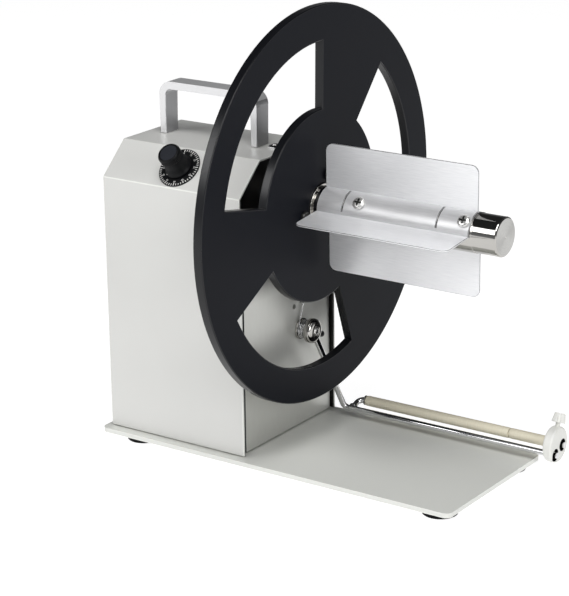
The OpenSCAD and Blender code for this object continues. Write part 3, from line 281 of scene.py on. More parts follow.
# Dull dark steel for the blackened hub screws and the cover's bare inside, where it is painted shade as well;
# it also paints shade into the panel's front seam and the screws' recesses
DARK_STEEL_AND_SHADE = metal("bare_sheet_steel", "#3c3c3b", "#565655", 0.42, grain_mm=2, bump=0.03, spread=0.05)
# Black satin powder coat: fine grain, soft grey sheen at a low angle
DISC_COAT = paint("black_satin_coat", "#0a0c12", "#101219", 0.42, grain_mm=0.7, bump=0.14,
                  Specular_IOR_Level=0.07)
# The same coat on the disc's edges: a little glossier, so that they catch the light
DISC_EDGE = paint("black_satin_edge", "#0b0c0f", "#121317", 0.28, grain_mm=0.7, bump=0.08,
                  Specular_IOR_Level=0.35)
# Stainless sheet, brushed along the spindle: its 0.1 mm lines are drawn about 0.5 mm wide so that they show
BRUSHED_STAINLESS = metal("brushed_stainless", "#dcdde0", "#fcfcfd", 0.34,
                          smear=(0.05, 1, 1), grain_mm=0.5, bump=0.05, spread=0.06, metallic=0.42)
# Painted shade: the same sheet, a little darker and duller where it is rolled round the shaft, to hold down
# the light it catches there
SHADED_ROLLED_STAINLESS = metal("rolled_stainless", "#bebec0", "#dadadb", 0.36,
                         smear=(0.05, 1, 1), grain_mm=0.5, bump=0.05, spread=0.06, metallic=0.42)
# Cut edge of the sheet: a thin dark line round each blade
STAINLESS_EDGE = metal("stainless_cut_edge", "#77787a", "#939496", 0.22, grain_mm=0.6, bump=0.05)
# Chrome plate: a near mirror with faint smears
CHROME = metal("chrome_plate", "#cfcfd0", "#dededf", 0.07, smear=(0.3, 1, 1), grain_mm=14, spread=0.025)
# Polished spindle steel: a mirror like the chrome, but darker and a little warm
POLISHED_STEEL = metal("polished_steel", "#aeaca8", "#bdbbb7", 0.09,
                       smear=(0.3, 1, 1), grain_mm=14, spread=0.025)
# Faced end of the shaft: turning marks round the middle, drawn about 0.4 mm apart
FACED_END = rings("faced_steel_end", "#a9a9a7", "#d0cfcc", 0.30, spacing_mm=0.4, bump=0.3, along=False,
                  centre=(0, 0, AXIS_Z), Metallic=1.0, Anisotropic=0.85)
# Nickel on the screws that show: softer than the chrome, so that the heads keep their shape to the eye
NICKEL = metal("nickel_plated_steel", "#cfcecc", "#e4e3e1", 0.26, grain_mm=5, spread=0.04, metallic=0.8)
# Zinc-plated steel for screws and hidden fittings: greyer and duller
ZINC = metal("zinc_plated_steel", "#9b9da0", "#b8babc", 0.34, grain_mm=3, bump=0.05, spread=0.06)
# Cast aluminium: matt, with the mould's grain
CAST_ALUMINIUM = metal("cast_aluminium", "#96989b", "#aeb0b2", 0.46, grain_mm=0.9, bump=0.25, spread=0.06)
# Brass: warm yellow
BRASS = metal("brass", "#a9873c", "#cfae5c", 0.26, grain_mm=4, bump=0.03, spread=0.05)
# Moulded rubber: dead black with a dull surface
RUBBER = plastic("moulded_rubber", "#0a0a0b", "#121212", 0.78, grain_mm=0.5, bump=0.30,
                 Specular_IOR_Level=0.12)
# ABS for the knob and housings: near black with a fine spark texture; it also paints shade into the guide's
# rod holes
BLACK_ABS_AND_BORE_SHADE = plastic("black_abs", "#0a0b0d", "#101113", 0.44, grain_mm=0.35, bump=0.15,
                    Specular_IOR_Level=0.15)
# Pressed disc in the knob's cap: dark grey with a dull metallic sheen
KNOB_CAP = plastic("knob_cap_disc", "#2e3036", "#3e4148", 0.36, grain_mm=0.4, bump=0.10, Metallic=0.5)
# Anodised dial: black, with white print on it
DIAL_BLACK = plastic("black_anodised_plate", "#08090a", "#0f1012", 0.36, grain_mm=0.6, bump=0.08,
                     Specular_IOR_Level=0.3)
PRINT_WHITE = plastic("white_print", "#dcdcd8", "#ececea", 0.55, grain_mm=0.4, bump=0.05)
# Red acetal: the switch's plunger
RED_PLASTIC = plastic("red_acetal", "#8c1f18", "#a32a20", 0.35, grain_mm=0.5, bump=0.08)
# Nylon turned from bar: milky white, soft gloss, a little light inside it
WHITE_NYLON = plastic("white_nylon", "#d8d8d3", "#e6e6e2", 0.42, grain_mm=0.6, bump=0.10,
                      Subsurface_Weight=0.12, Subsurface_Radius=(0.0015, 0.0015, 0.0013))
# Ivory nylon tube with faint turning marks, drawn about 0.8 mm apart
IVORY_NYLON = rings("ivory_nylon", "#e0d8bf", "#ebe5d2", 0.36, spacing_mm=0.8, bump=0.10, along=True)
# Circuit board: green solder mask over faint copper runs
BOARD_MASK = plastic("solder_mask", "#1a5a31", "#237040", 0.36, grain_mm=1.2, bump=0.12)
BOARD_PARTS = plastic("moulded_epoxy", "#26282b", "#34373b", 0.48, grain_mm=0.5, bump=0.12)

FINISH_OF = {
    HOUSING_COAT: "housing_cover",
    SATIN_STEEL: "drive_panel",
    BASE_COAT: "base_plate",
    SATIN_ALUMINIUM: "carry_handle",
    DISC_COAT: "flange_disc",
    BRUSHED_STAINLESS: "core_sheet_a core_sheet_b",
    POLISHED_STEEL: "spindle_shaft disc_hub pivot_hub pivot_bush",
    CHROME: "swing_arm pivot_shaft torsion_spring button_nut roller_clips",
    NICKEL: "push_button blade_screws",
    DARK_STEEL_AND_SHADE: "hub_screws",
    ZINC: "foot_screws base_screws handle_screws bearing_screws bearing_outer_races motor_standoffs"
          " motor_bracket motor_can drive_screws board_screws pot_nut inlet_nut switch_bracket"
          " bearing_inner_races bearing_balls gear_spacer spindle_gear shaft_circlip motor_shaft pot_shaft"
          " potentiometer",
    CAST_ALUMINIUM: "bearing_housing gearbox_case",
    BRASS: "motor_pinion board_standoffs",
    RUBBER: "rubber_feet",
    BLACK_ABS_AND_BORE_SHADE: "control_knob power_inlet micro_switch clamp_screw button_body",
    DIAL_BLACK: "dial_plate",
    BOARD_MASK: "control_board",
    BOARD_PARTS: "board_parts",
    RED_PLASTIC: "switch_plunger",
    WHITE_NYLON: "edge_guide thumb_screw switch_cam",
    IVORY_NYLON: "roller_long roller_short",
}
for material, names in FINISH_OF.items():
    for name in names.split():
        slots = frame["nodes"][name].data.materials
        slots.clear()
        slots.append(material)


# Meshes

def link(name, mesh, *materials):
    """An object of the mesh in the scene, with the materials in its slots."""
    for material in materials:
        mesh.materials.append(material)
    piece = bpy.data.objects.new(name, mesh)
    bpy.context.scene.collection.objects.link(piece)
    return piece


def evaluated(piece):
    """A plain mesh of what the piece's modifiers give. The piece itself is removed."""
    name = piece.name
    shown = piece.evaluated_get(bpy.context.evaluated_depsgraph_get())
    mesh = bpy.data.meshes.new_from_object(shown)
    bpy.data.objects.remove(piece)
    mesh.name = name
    made = bpy.data.objects.new(name, mesh)
    bpy.context.scene.collection.objects.link(made)
    return made


def smooth(piece, angle=32):
    """Smooth shading, with edges over the angle kept sharp."""
    piece.data.shade_smooth()
    piece.data.set_sharp_from_angle(angle=math.radians(angle))
    return piece


def stands_for(piece, node):
    """The piece rides on the node's body and is shown in its place."""
    record = frame["record"]
    body = next(b for b, members in record["behaviour"]["bodies"].items() if node in members)
    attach(piece, body)
    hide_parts(node)
    return piece


def level_corners(mesh):
    """Turns stray normals at the corners of wide flat faces back to the face, so that it shades evenly."""
    normals = [corner.vector.copy() for corner in mesh.corner_normals]
    for face in mesh.polygons:
        if face.area > WIDE_FACE * MM * MM:
            for i in face.loop_indices:
                if normals[i].dot(face.normal) < STRAY_NORMAL:
                    normals[i] = face.normal.copy()
    mesh.normals_split_custom_set(normals)


def softened(node, width, material, edge=None, least=1.0):
    """A copy of a node with its sharp edges rounded. Edges shorter than least, as at small holes, stay."""
    bm = bmesh.new()
    bm.from_mesh(frame["nodes"][node].data)
    bmesh.ops.remove_doubles(bm, verts=bm.verts, dist=WELD * MM)
    bmesh.ops.dissolve_limit(bm, angle_limit=math.radians(FLAT_DEGREES), verts=bm.verts, edges=bm.edges)
    mesh = bpy.data.meshes.new(node + "_soft")
    weights = [0.0] * len(bm.edges)
    bm.edges.ensure_lookup_table()
    for i, e in enumerate(bm.edges):
        if len(e.link_faces) == 2 and e.is_convex and e.calc_length() > least * MM:
            weights[i] = float(e.calc_face_angle(0) > math.radians(SHARP_DEGREES))
    bm.to_mesh(mesh)
    bm.free()
    mesh.attributes.new("bevel_weight_edge", "FLOAT", "EDGE").data.foreach_set("value", weights)
    mesh.materials.clear()
    piece = link(node + "_soft", mesh, material, edge or material)
    bevel = piece.modifiers.new("bevel", "BEVEL")
    bevel.limit_method = "WEIGHT"
    bevel.width = width * MM
    bevel.segments = BEVEL_SEGMENTS
    bevel.use_clamp_overlap = False
    bevel.material = 1
    bevel.miter_outer = "MITER_ARC"
    piece = smooth(evaluated(piece))
    flat = piece.modifiers.new("flat_faces", "WEIGHTED_NORMAL")
    flat.keep_sharp = True
    flat.weight = 100
    piece = evaluated(piece)
    level_corners(piece.data)
    return stands_for(piece, node)


def refinished(piece, material, chosen):
    """Gives another finish to the faces that the test picks."""
    slots = piece.data.materials
    if material.name not in slots:
        slots.append(material)
    for face in piece.data.polygons:
        if chosen(face):
            face.material_index = slots.find(material.name)


def lifted(piece, lift, reach):
    """Raises the foot of a sheet off the base plate, which leaves the dark seam that a folded sheet has."""
    for v in piece.data.vertices:
        if v.co.z < (BASE_Z + reach) * MM:
            v.co.z += lift * MM


def drawn_in(piece, front, back, reach):
    """Draws the upright edges of a panel in from the cover's walls, for the same kind of seam."""
    for v in piece.data.vertices:
        if v.co.y < -reach * MM:
            v.co.y += front * MM
        if v.co.y > reach * MM:
            v.co.y -= back * MM


def along_x(x=0, y=0, z=0):
    """Local Z runs along +X from this place."""
    return Matrix.Translation(Vector((x, y, z))) @ Matrix(((0, 0, 1), (1, 0, 0), (0, 1, 0))).to_4x4()


def turned_mesh(name, profile, place, sides=96, closed=False):
    """A shape turned round local Z from radii and heights. closed joins the profile's ends, as for a tube."""
    bm = bmesh.new()
    rows = []
    for radius, height in profile:
        if radius < 1e-6:
            rows.append([bm.verts.new((0, 0, height))] * sides)
            continue
        turns = [2 * math.pi * k / sides for k in range(sides)]
        rows.append([bm.verts.new((radius * math.cos(t), radius * math.sin(t), height)) for t in turns])
    if closed:
        rows.append(rows[0])
    for low, high in zip(rows, rows[1:]):
        for k in range(sides):
            n = (k + 1) % sides
            corners = list(dict.fromkeys([low[k], low[n], high[n], high[k]]))
            if len(corners) > 2:
                bm.faces.new(corners)
    bmesh.ops.recalc_face_normals(bm, faces=bm.faces)
    bmesh.ops.transform(bm, matrix=Matrix.Scale(MM, 4) @ place, verts=bm.verts)
    mesh = bpy.data.meshes.new(name)
    bm.to_mesh(mesh)
    bm.free()
    return mesh


def turned_tube(name, node, profile, place, material, sides):
    """A turned piece with a bore, shown in a node's place."""
    mesh = turned_mesh(name, profile, place, sides, closed=True)
    return stands_for(smooth(link(name, mesh, material)), node)


# Geometry Nodes

def node_group(name, inputs):
    """A tree with the given inputs, a geometry input and a geometry output."""
    tree = bpy.data.node_groups.new(name, "GeometryNodeTree")
    tree.interface.new_socket("Geometry", in_out="INPUT", socket_type="NodeSocketGeometry")
    for label, kind in inputs.items():
        tree.interface.new_socket(label, in_out="INPUT", socket_type="NodeSocket" + kind)
    tree.interface.new_socket("Geometry", in_out="OUTPUT", socket_type="NodeSocketGeometry")
    return tree, add(tree, "NodeGroupInput").outputs


def end_group(tree, geometry, finish):
    """Makes the tree's result real, gives it its material and puts it out."""
    real = add(tree, "GeometryNodeRealizeInstances", {0: geometry})
    dressed = add(tree, "GeometryNodeSetMaterial", {"Geometry": real.outputs[0], "Material": finish})
    add(tree, "NodeGroupOutput", {0: dressed.outputs[0]})
    return tree


def grown(name, tree, mesh, **values):
    """Runs a tree on a mesh with its inputs set by identifier, and gives the plain result."""
    piece = link(name, mesh)
    modifier = piece.modifiers.new("grow", "NODES")
    modifier.node_group = tree
    for item in tree.interface.items_tree:
        key = item.name.replace(" ", "_").lower()
        if item.in_out == "INPUT" and key in values:
            modifier[item.identifier] = values[key]
    return evaluated(piece)


def copies_tree():
    """Copies of one object on the points of a mesh, each turned by the point's own angles."""
    tree, source = node_group("copies_on_points", {"Copy": "Object", "Finish": "Material"})
    shape = add(tree, "GeometryNodeObjectInfo", {"Object": source["Copy"], "As Instance": True})
    angles = add(tree, "GeometryNodeInputNamedAttribute", {"Name": "turn"}, data_type="FLOAT_VECTOR")
    turn = add(tree, "FunctionNodeEulerToRotation", {0: angles.outputs[0]})
    put = add(tree, "GeometryNodeInstanceOnPoints",
              {"Points": source["Geometry"], "Instance": shape.outputs["Geometry"],
               "Rotation": turn.outputs[0]})
    return end_group(tree, put.outputs[0], source["Finish"])


def ring_tree():
    """Bars set round a circle over a sweep, as ticks on a dial or ribs on a grip."""
    tree, source = node_group("ring_of_bars", {"Count": "Int", "Sweep": "Float", "Radius": "Float",
                                               "Bar": "Vector", "Lift": "Float", "Finish": "Material"})
    index = add(tree, "GeometryNodeInputIndex").outputs[0]
    last = add(tree, "ShaderNodeMath", {0: source["Count"], 1: 1.0}, operation="SUBTRACT")
    share = add(tree, "ShaderNodeMath", {0: index, 1: last.outputs[0]}, operation="DIVIDE")
    middle = add(tree, "ShaderNodeMath", {0: share.outputs[0], 1: 0.5}, operation="SUBTRACT")
    angle = add(tree, "ShaderNodeMath", {0: middle.outputs[0], 1: source["Sweep"]}, operation="MULTIPLY")
    sine = add(tree, "ShaderNodeMath", {0: angle.outputs[0]}, operation="SINE")
    cosine = add(tree, "ShaderNodeMath", {0: angle.outputs[0]}, operation="COSINE")
    across = add(tree, "ShaderNodeMath", {0: sine.outputs[0], 1: source["Radius"]}, operation="MULTIPLY")
    up = add(tree, "ShaderNodeMath", {0: cosine.outputs[0], 1: source["Radius"]}, operation="MULTIPLY")
    spot = add(tree, "ShaderNodeCombineXYZ", {0: across.outputs[0], 1: up.outputs[0], 2: source["Lift"]})
    points = add(tree, "GeometryNodePoints", {"Count": source["Count"], "Position": spot.outputs[0]})
    back = add(tree, "ShaderNodeMath", {0: angle.outputs[0], 1: -1.0}, operation="MULTIPLY")
    angles = add(tree, "ShaderNodeCombineXYZ", {2: back.outputs[0]})
    turn = add(tree, "FunctionNodeEulerToRotation", {0: angles.outputs[0]})
    bar = add(tree, "GeometryNodeMeshCube", {"Size": source["Bar"]})
    put = add(tree, "GeometryNodeInstanceOnPoints",
              {"Points": points.outputs[0], "Instance": bar.outputs[0], "Rotation": turn.outputs[0]})
    return end_group(tree, put.outputs[0], source["Finish"])


def wire_tree():
    """A round wire along the edges of a mesh."""
    tree, source = node_group("wire_along_path",
                              {"Thickness": "Float", "Sides": "Int", "Finish": "Material"})
    path = add(tree, "GeometryNodeMeshToCurve", {"Mesh": source["Geometry"]})
    radius = add(tree, "ShaderNodeMath", {0: source["Thickness"], 1: 0.5}, operation="MULTIPLY")
    outline = add(tree, "GeometryNodeCurvePrimitiveCircle",
                  {"Resolution": source["Sides"], "Radius": radius.outputs[0]})
    tube = add(tree, "GeometryNodeCurveToMesh",
               {"Curve": path.outputs[0], "Profile Curve": outline.outputs[0], "Fill Caps": True})
    return end_group(tree, tube.outputs[0], source["Finish"])


COPIES = copies_tree()
RING = ring_tree()
WIRE = wire_tree()


def path_mesh(name, points):
    """A mesh of edges from point to point."""
    mesh = bpy.data.meshes.new(name)
    mesh.from_pydata([Vector(p) * MM for p in points], [(i, i + 1) for i in range(len(points) - 1)], [])
    return mesh


def wire(name, points, thickness, material, sides):
    """A round wire through the points."""
    made = grown(name, WIRE, path_mesh(name, points), thickness=thickness * MM, sides=sides, finish=material)
    return smooth(made, 50)


# Housing, base, handle and disc: the frame's own solids with rolled or broken edges

# The rounded edges of the base and the cover take the painted highlight
softened("base_plate", 0.5, BASE_COAT, HIGHLIGHT_EDGE_COAT)
cover = softened("housing_cover", 0.65, HOUSING_COAT, HIGHLIGHT_EDGE_COAT)
COVER_MIDDLE = Vector((SIDE_X - 53, 0, AXIS_Z - 60)) * MM
# Painted shade: the cover's inner faces drawn dark, on its bare inside
refinished(cover, DARK_STEEL_AND_SHADE, lambda face: face.normal.dot(face.center - COVER_MIDDLE) < 0)
lifted(cover, FOOT_SEAM, reach=0.7)
panel = softened("drive_panel", 1.2, SATIN_STEEL, least=9)
lifted(panel, FOOT_SEAM, reach=1.3)
drawn_in(panel, PANEL_FRONT_SEAM, PANEL_BACK_SEAM, PANEL_EDGE_Y)
# Painted shade: the panel's front edge, in its seam, drawn dark
refinished(panel, DARK_STEEL_AND_SHADE, lambda face: face.normal.y < -0.3 and face.center.y < -43 * MM)
handle = softened("carry_handle", 0.9, SATIN_ALUMINIUM)
# Painted shade on the bar's wide sides
refinished(handle, SHADED_BAR_SIDE, lambda face: abs(face.normal.x) > 0.9)
disc = softened("flange_disc", 0.7, DISC_COAT, DISC_EDGE)
refinished(disc, DISC_EDGE, lambda face: abs(face.normal.x) < 0.8)
guide = softened("edge_guide", 0.3, WHITE_NYLON, least=0.2)


def in_rolled_part(face):
    """True for the broad faces of a core sheet that lie close round the shaft, which get painted shade."""
    broad = face.material_index == 0
    return broad and math.hypot(face.center.y, face.center.z - AXIS_Z * MM) < ROLLED_R * MM


for node in ("core_sheet_a", "core_sheet_b"):
    sheet = softened(node, 0.22, BRUSHED_STAINLESS, STAINLESS_EDGE, least=0.3)
    # Painted shade: the rolled part drawn darker
    refinished(sheet, SHADED_ROLLED_STAINLESS, in_rolled_part)

# Small pieces of one finish: the edges' width and the least length of an edge that is rounded
for node, width, material, least in (
        ("rubber_feet", 0.9, RUBBER, 1.0),
        ("thumb_screw", 0.35, WHITE_NYLON, 0.25),
        ("pivot_bush", 0.3, POLISHED_STEEL, 0.1),
        ("clamp_screw", 0.25, BLACK_ABS_AND_BORE_SHADE, 0.1),
        ("button_nut", 0.2, CHROME, 1.0),
        ("push_button", 0.2, NICKEL, 0.1),
        ("dial_plate", 0.2, DIAL_BLACK, 0.1),
        ("power_inlet", 0.3, BLACK_ABS_AND_BORE_SHADE, 0.1),
        ("disc_hub", 0.3, POLISHED_STEEL, 0.3)):
    softened(node, width, material, least=least)


def in_shaded_guide_hole(face):
    """True for the walls and floors of the guide's two rod holes, which get painted shade."""
    holes = ((LOW_Y, LOW_Z), (REAR_Y, REAR_Z))
    spot = face.center / MM
    inside = any(math.hypot(spot.y - y, spot.z - z) < GUIDE_HOLE_R for y, z in holes)
    return inside and spot.x < ROD_END_X - GUIDE_HOLE_DEPTH


# Painted shade: the guide's rod holes drawn black
refinished(guide, BLACK_ABS_AND_BORE_SHADE, in_shaded_guide_hole)


# Spindle shaft: turned bar with its journal, a ground seat, a bevelled rim and a faced end

def spindle_shaft():
    """The bar from its grooved tail to its free end, with a small centre in the faced end."""
    tail, step, end = SIDE_X - 58.2, SIDE_X - 5.2, SHAFT_END_X
    groove, groove_end = SIDE_X - 55.23, SIDE_X - 53.97
    journal, shaft, seat = 7.5, 12.5, 12.25
    profile = [(0, tail), (journal - 0.5, tail), (journal, tail + 0.5), (journal, groove), (6.9, groove),
               (6.9, groove_end), (journal, groove_end), (journal, step), (shaft - 0.3, step),
               (shaft, step + 0.3), (shaft, BLADE_X1 + 0.75), (seat, BLADE_X1 + 1), (seat, end - 1),
               (seat - 0.2, end - 0.5), (seat - 1, end), (0.6, end), (0.3, end - 0.3), (0, end - 0.35)]
    mesh = turned_mesh("spindle_bar", profile, along_x(0, 0, AXIS_Z), 128)
    piece = smooth(link("spindle_bar", mesh, POLISHED_STEEL), 20)
    refinished(piece, FACED_END, lambda face: face.center.x > (end - 0.1) * MM and face.normal.x > 0.9)
    return stands_for(piece, "spindle_shaft")


spindle_shaft()


# Screws: domed heads with a cross recess, one made for each size and copied to its places

def screw_shape(name, thread, head, height, length):
    """A screw down local Z with its head's seat at 0. Real recesses taper, this one is straight."""
    stem, r = thread / 2, head / 2
    profile = [(0, -length), (stem - 0.3, -length), (stem, 0.4 - length), (stem, 0), (r - 0.15, 0),
               (r, 0.15), (r, height * 0.45), (r * 0.96, height * 0.66), (r * 0.84, height * 0.84),
               (r * 0.62, height * 0.95), (r * 0.3, height), (0, height)]
    piece = link(name, turned_mesh(name, profile, Matrix(), 40))
    cutters = []
    arm, slot = head * 0.62, head * 0.15
    for across in ((slot, arm), (arm, slot)):
        bm = bmesh.new()
        box = Matrix.Translation((0, 0, height * 0.9)) @ Matrix.Diagonal((*across, height * 1.1, 1))
        bmesh.ops.create_cube(bm, size=1, matrix=Matrix.Scale(MM, 4) @ box)
        mesh = bpy.data.meshes.new("recess")
        bm.to_mesh(mesh)
        bm.free()
        cutters.append(link("recess", mesh))
        cut = piece.modifiers.new("cut", "BOOLEAN")
        cut.object = cutters[-1]
        cut.operation = "DIFFERENCE"
    piece = smooth(evaluated(piece), 40)
    for cutter in cutters:
        bpy.data.objects.remove(cutter)
    return piece


def screw_set(name, node, size, places, material):
    """Copies of a screw at the places, each a point and the way its head faces. The recesses get painted
    shade.

    size is the thread, the head, the head's height and the length, as screw_shape takes them.
    """
    shape = screw_shape(name + "_one", *size)
    points = bpy.data.meshes.new(name)
    points.from_pydata([Vector(at) * MM for at, way in places], [], [])
    angles = []
    for at, way in places:
        angles += Vector((0, 0, 1)).rotation_difference(Vector(way)).to_euler()
    points.attributes.new("turn", "FLOAT_VECTOR", "POINT").data.foreach_set("vector", angles)
    piece = grown(name, COPIES, points, copy=shape, finish=material)
    bpy.data.objects.remove(shape)

    def in_recess(face):
        spot = face.center / MM
        at, way = min(places, key=lambda place: (Vector(place[0]) - spot).length)
        off = spot - Vector(at)
        rise = off.dot(Vector(way))
        facing = face.normal.dot(Vector(way))
        inner = (off - Vector(way) * rise).length < size[1] * 0.34
        wall = abs(facing) < 0.5
        ground = facing > 0.9 and rise < size[2] * 0.5
        return inner and rise > 0.05 and (wall or ground)

    # Painted shade in the recesses
    refinished(piece, DARK_STEEL_AND_SHADE, in_recess)
    return stands_for(piece, node) if node else piece


def blade_screw_places():
    """Two screws in each core sheet, in from its outer face."""
    places = []
    for turn in BLADE_SCREW_TURNS:
        way = Vector((0, -math.sin(math.radians(turn)), math.cos(math.radians(turn))))
        for x in BLADE_SCREW_X:
            places.append((Vector((BLADE_X0 + x, 0, AXIS_Z)) + way * BLADE_SCREW_SEAT_R, way))
    return places


def hub_screw_places():
    """Three screws round the spindle, on the disc's front face."""
    turns = [math.radians(HUB_SCREW_TURN + 120 * i) for i in range(3)]
    spots = [(HUB_SCREW_R * math.cos(t), HUB_SCREW_R * math.sin(t)) for t in turns]
    return [((DISC_FRONT_X, y, AXIS_Z + z), (1, 0, 0)) for y, z in spots]


def foot_places():
    """One screw in each foot, with its head down."""
    return [((x, y, 2.5), (0, 0, -1)) for x in (-116.25, 107.75) for y in (-43.5, 40)]


def base_screw_places():
    """Screws from under the base plate into the cover's flanges and the panel's."""
    cover = [(x, y) for x in (SIDE_X - 64, SIDE_X - 26) for y in (-44.5, 44.5)]
    panel = [(SIDE_X - 11.5, y) for y in (-26, 26)]
    return [((x, y, FOOT_H), (0, 0, -1)) for x, y in cover + panel]


def bearing_screw_places():
    """Four screws through the panel into the bearing housing."""
    return [((PANEL_OUT_X, y, AXIS_Z + z), (1, 0, 0)) for y in (-22, 22) for z in (-8, 8)]


screw_set("blade_screw_set", "blade_screws", (5, 8, 2.2, 8), blade_screw_places(), NICKEL)
screw_set("hub_screw_set", "hub_screws", (4, 7.6, 2.8, 11), hub_screw_places(), DARK_STEEL_AND_SHADE)
screw_set("foot_screw_set", "foot_screws", (3, 5.6, 2.2, 4), foot_places(), ZINC)
screw_set("base_screw_set", "base_screws", (4, 7.6, 2.8, 6), base_screw_places(), ZINC)
screw_set("bearing_screw_set", "bearing_screws", (4, 7.6, 2.8, 9), bearing_screw_places(), ZINC)


# Control knob and dial

def merged(name, pieces):
    """One mesh of several finished pieces, each keeping its materials."""
    bm = bmesh.new()
    materials = []
    for piece in pieces:
        part = piece.data
        for material in part.materials:
            if material not in materials:
                materials.append(material)
        order = [materials.index(m) for m in part.materials]
        start = len(bm.faces)
        bm.from_mesh(part)
        bm.faces.ensure_lookup_table()
        for i in range(start, len(bm.faces)):
            bm.faces[i].material_index = order[bm.faces[i].material_index]
        bpy.data.objects.remove(piece)
    mesh = bpy.data.meshes.new(name)
    bm.to_mesh(mesh)
    bm.free()
    return link(name, mesh, *materials)


def placed(piece, place):
    """Moves a finished mesh by a matrix in millimetres."""
    piece.data.transform(Matrix.Scale(MM, 4) @ place @ Matrix.Scale(1 / MM, 4))
    return piece


def bars(name, count, sweep, radius, bar, lift, material):
    """Bars round local Z, over a sweep in degrees that is even about local Y."""
    return grown(name, RING, bpy.data.meshes.new(name), count=count, sweep=math.radians(sweep),
                 radius=radius * MM, bar=[side * MM for side in bar], lift=lift * MM, finish=material)


def numeral(text, radius, angle, size):
    """One number of the dial's scale, upright at its angle from local Y."""
    curve = bpy.data.curves.new("numeral", "FONT")
    curve.body = text
    curve.size = size * MM
    curve.align_x = "CENTER"
    curve.align_y = "CENTER"
    curve.extrude = 0.02 * MM
    source = bpy.data.objects.new("numeral", curve)
    bpy.context.scene.collection.objects.link(source)
    piece = evaluated(source)
    piece.data.materials.clear()
    piece.data.materials.append(PRINT_WHITE)
    turn = Matrix.Rotation(math.radians(-angle), 4, "Z")
    return placed(piece, turn @ Matrix.Translation((0, radius, DIAL_T + 0.03)))


def dial_print():
    """Scale on the dial: real ones have 100 steps, drawn here as 40 so that the marks show."""
    marks = [bars("fine_marks", 41, 300, 12.8, (0.42, 1.4, 0.06), DIAL_T, PRINT_WHITE),
             bars("tens_marks", 11, 300, 12.6, (0.5, 1.8, 0.07), DIAL_T, PRINT_WHITE)]
    for k in range(11):
        marks.append(numeral(str(10 * k), 10.7, 30 * k - 150, 1.7))
    turn = Matrix.Rotation(math.radians(-DIAL_TURN), 4, "Z")
    piece = placed(merged("dial_print", marks), ON_SLOPE @ turn)
    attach(piece, "frame")


def control_knob():
    """Skirted knob with a ribbed collar and a sunk cap, hollow over the nut and bored for its shaft."""
    cap, cap_r, bore = 16.6, 5.6, 3.03
    profile = [(8.8, 1.8), (8.8, 2.5), (8.6, 2.8), (8.05, 3.5), (7.65, 4.6), (7.45, 6), (7.35, 8.5),
               (7.25, 11), (7.0, 11.6), (7.0, 12), (7.25, 12.3), (7.25, 15.6), (7.1, 16.2), (6.8, 16.7),
               (6.3, 17), (5.9, 17), (cap_r, cap), (0, cap), (0, 14.1), (bore, 14.1), (bore, 5.8),
               (6.5, 5.8), (6.5, 1.8)]
    body = smooth(link("knob_body", turned_mesh("knob_body", profile, Matrix(), 96, True), BLACK_ABS_AND_BORE_SHADE))
    refinished(body, KNOB_CAP, lambda face: face.center.z > (cap - 0.1) * MM
               and face.center.xy.length < (cap_r + 0.1) * MM)
    ribs = bars("knob_ribs", 48, 352.5, 7.28, (0.42, 0.34, 3.0), 14, BLACK_ABS_AND_BORE_SHADE)
    line = bars("knob_line", 1, 300, 8.45, (0.7, 0.8, 0.5), 2.65, PRINT_WHITE)
    piece = placed(merged("knob_turned", [body, ribs, line]), ON_SLOPE)
    stands_for(piece, "control_knob")


dial_print()
control_knob()


# Swing arm: bent rods, brazed joint, hub, spring and rollers

def arm_place(x, along):
    """A place in the arm's plane, by its X and its distance down from the pivot."""
    back, drop = LOW_Y - PIVOT_Y, PIVOT_Z - LOW_Z
    length = math.hypot(back, drop)
    return Vector((x, PIVOT_Y + along * back / length, PIVOT_Z - along * drop / length))


def arc(start, corner, end, steps=14):
    """Points of a round bend from start to end, tangent to the two legs that meet at corner."""
    a, b = (start - corner), (end - corner)
    half = a.angle(b) / 2
    centre = corner + (a.normalized() + b.normalized()).normalized() * a.length / math.cos(half)
    u, w = start - centre, end - centre
    full = u.angle(w)
    angles = [full * k / steps for k in range(steps + 1)]
    return [centre + (u * math.sin(full - t) + w * math.sin(t)) / math.sin(full) for t in angles]


def swing_arm():
    """The lower rod from the hub to its free end, the rear rod bent into it, and the bead that joins them."""
    length = math.hypot(LOW_Y - PIVOT_Y, PIVOT_Z - LOW_Z)
    hub_x = (HUB_X0 + HUB_X1) / 2
    corner = arm_place(CORNER_X, length)
    lean = math.atan2(CORNER_X - hub_x, length)
    cut = 3.5 * math.tan((math.pi / 2 - lean) / 2)
    up = (arm_place(hub_x, 0) - corner).normalized()
    top = arm_place(hub_x, 0) - up * 5
    out = Vector((1, 0, 0))
    low = [top] + arc(corner + up * cut, corner, corner + out * cut) + [Vector((ROD_END_X, LOW_Y, LOW_Z))]
    rear = Vector((REAR_BEND_X - 4.5, REAR_Y, REAR_Z))
    inward = Vector((0, LOW_Y - REAR_Y, LOW_Z - REAR_Z)).normalized()
    foot = Vector((rear.x, LOW_Y, LOW_Z))
    high = [Vector((ROD_END_X, REAR_Y, REAR_Z))] + arc(rear + out * 4.5, rear, rear + inward * 4.5) + [foot]
    rods = [wire("low_rod", low, 4, CHROME, 32), wire("rear_rod", high, 4, CHROME, 32)]
    bead = [(1.9, 0), (3.0, -0.2), (3.1, 0.3), (2.8, 0.8), (2.4, 1.2), (1.9, 1.6)]
    way = Matrix.Translation(foot - inward * 1.6) @ (-inward).to_track_quat("Z", "Y").to_matrix().to_4x4()
    rods.append(smooth(link("braze", turned_mesh("braze", bead, way, 40, True), STAINLESS_EDGE), 60))
    stands_for(smooth(merged("bent_rods", rods), 50), "swing_arm")


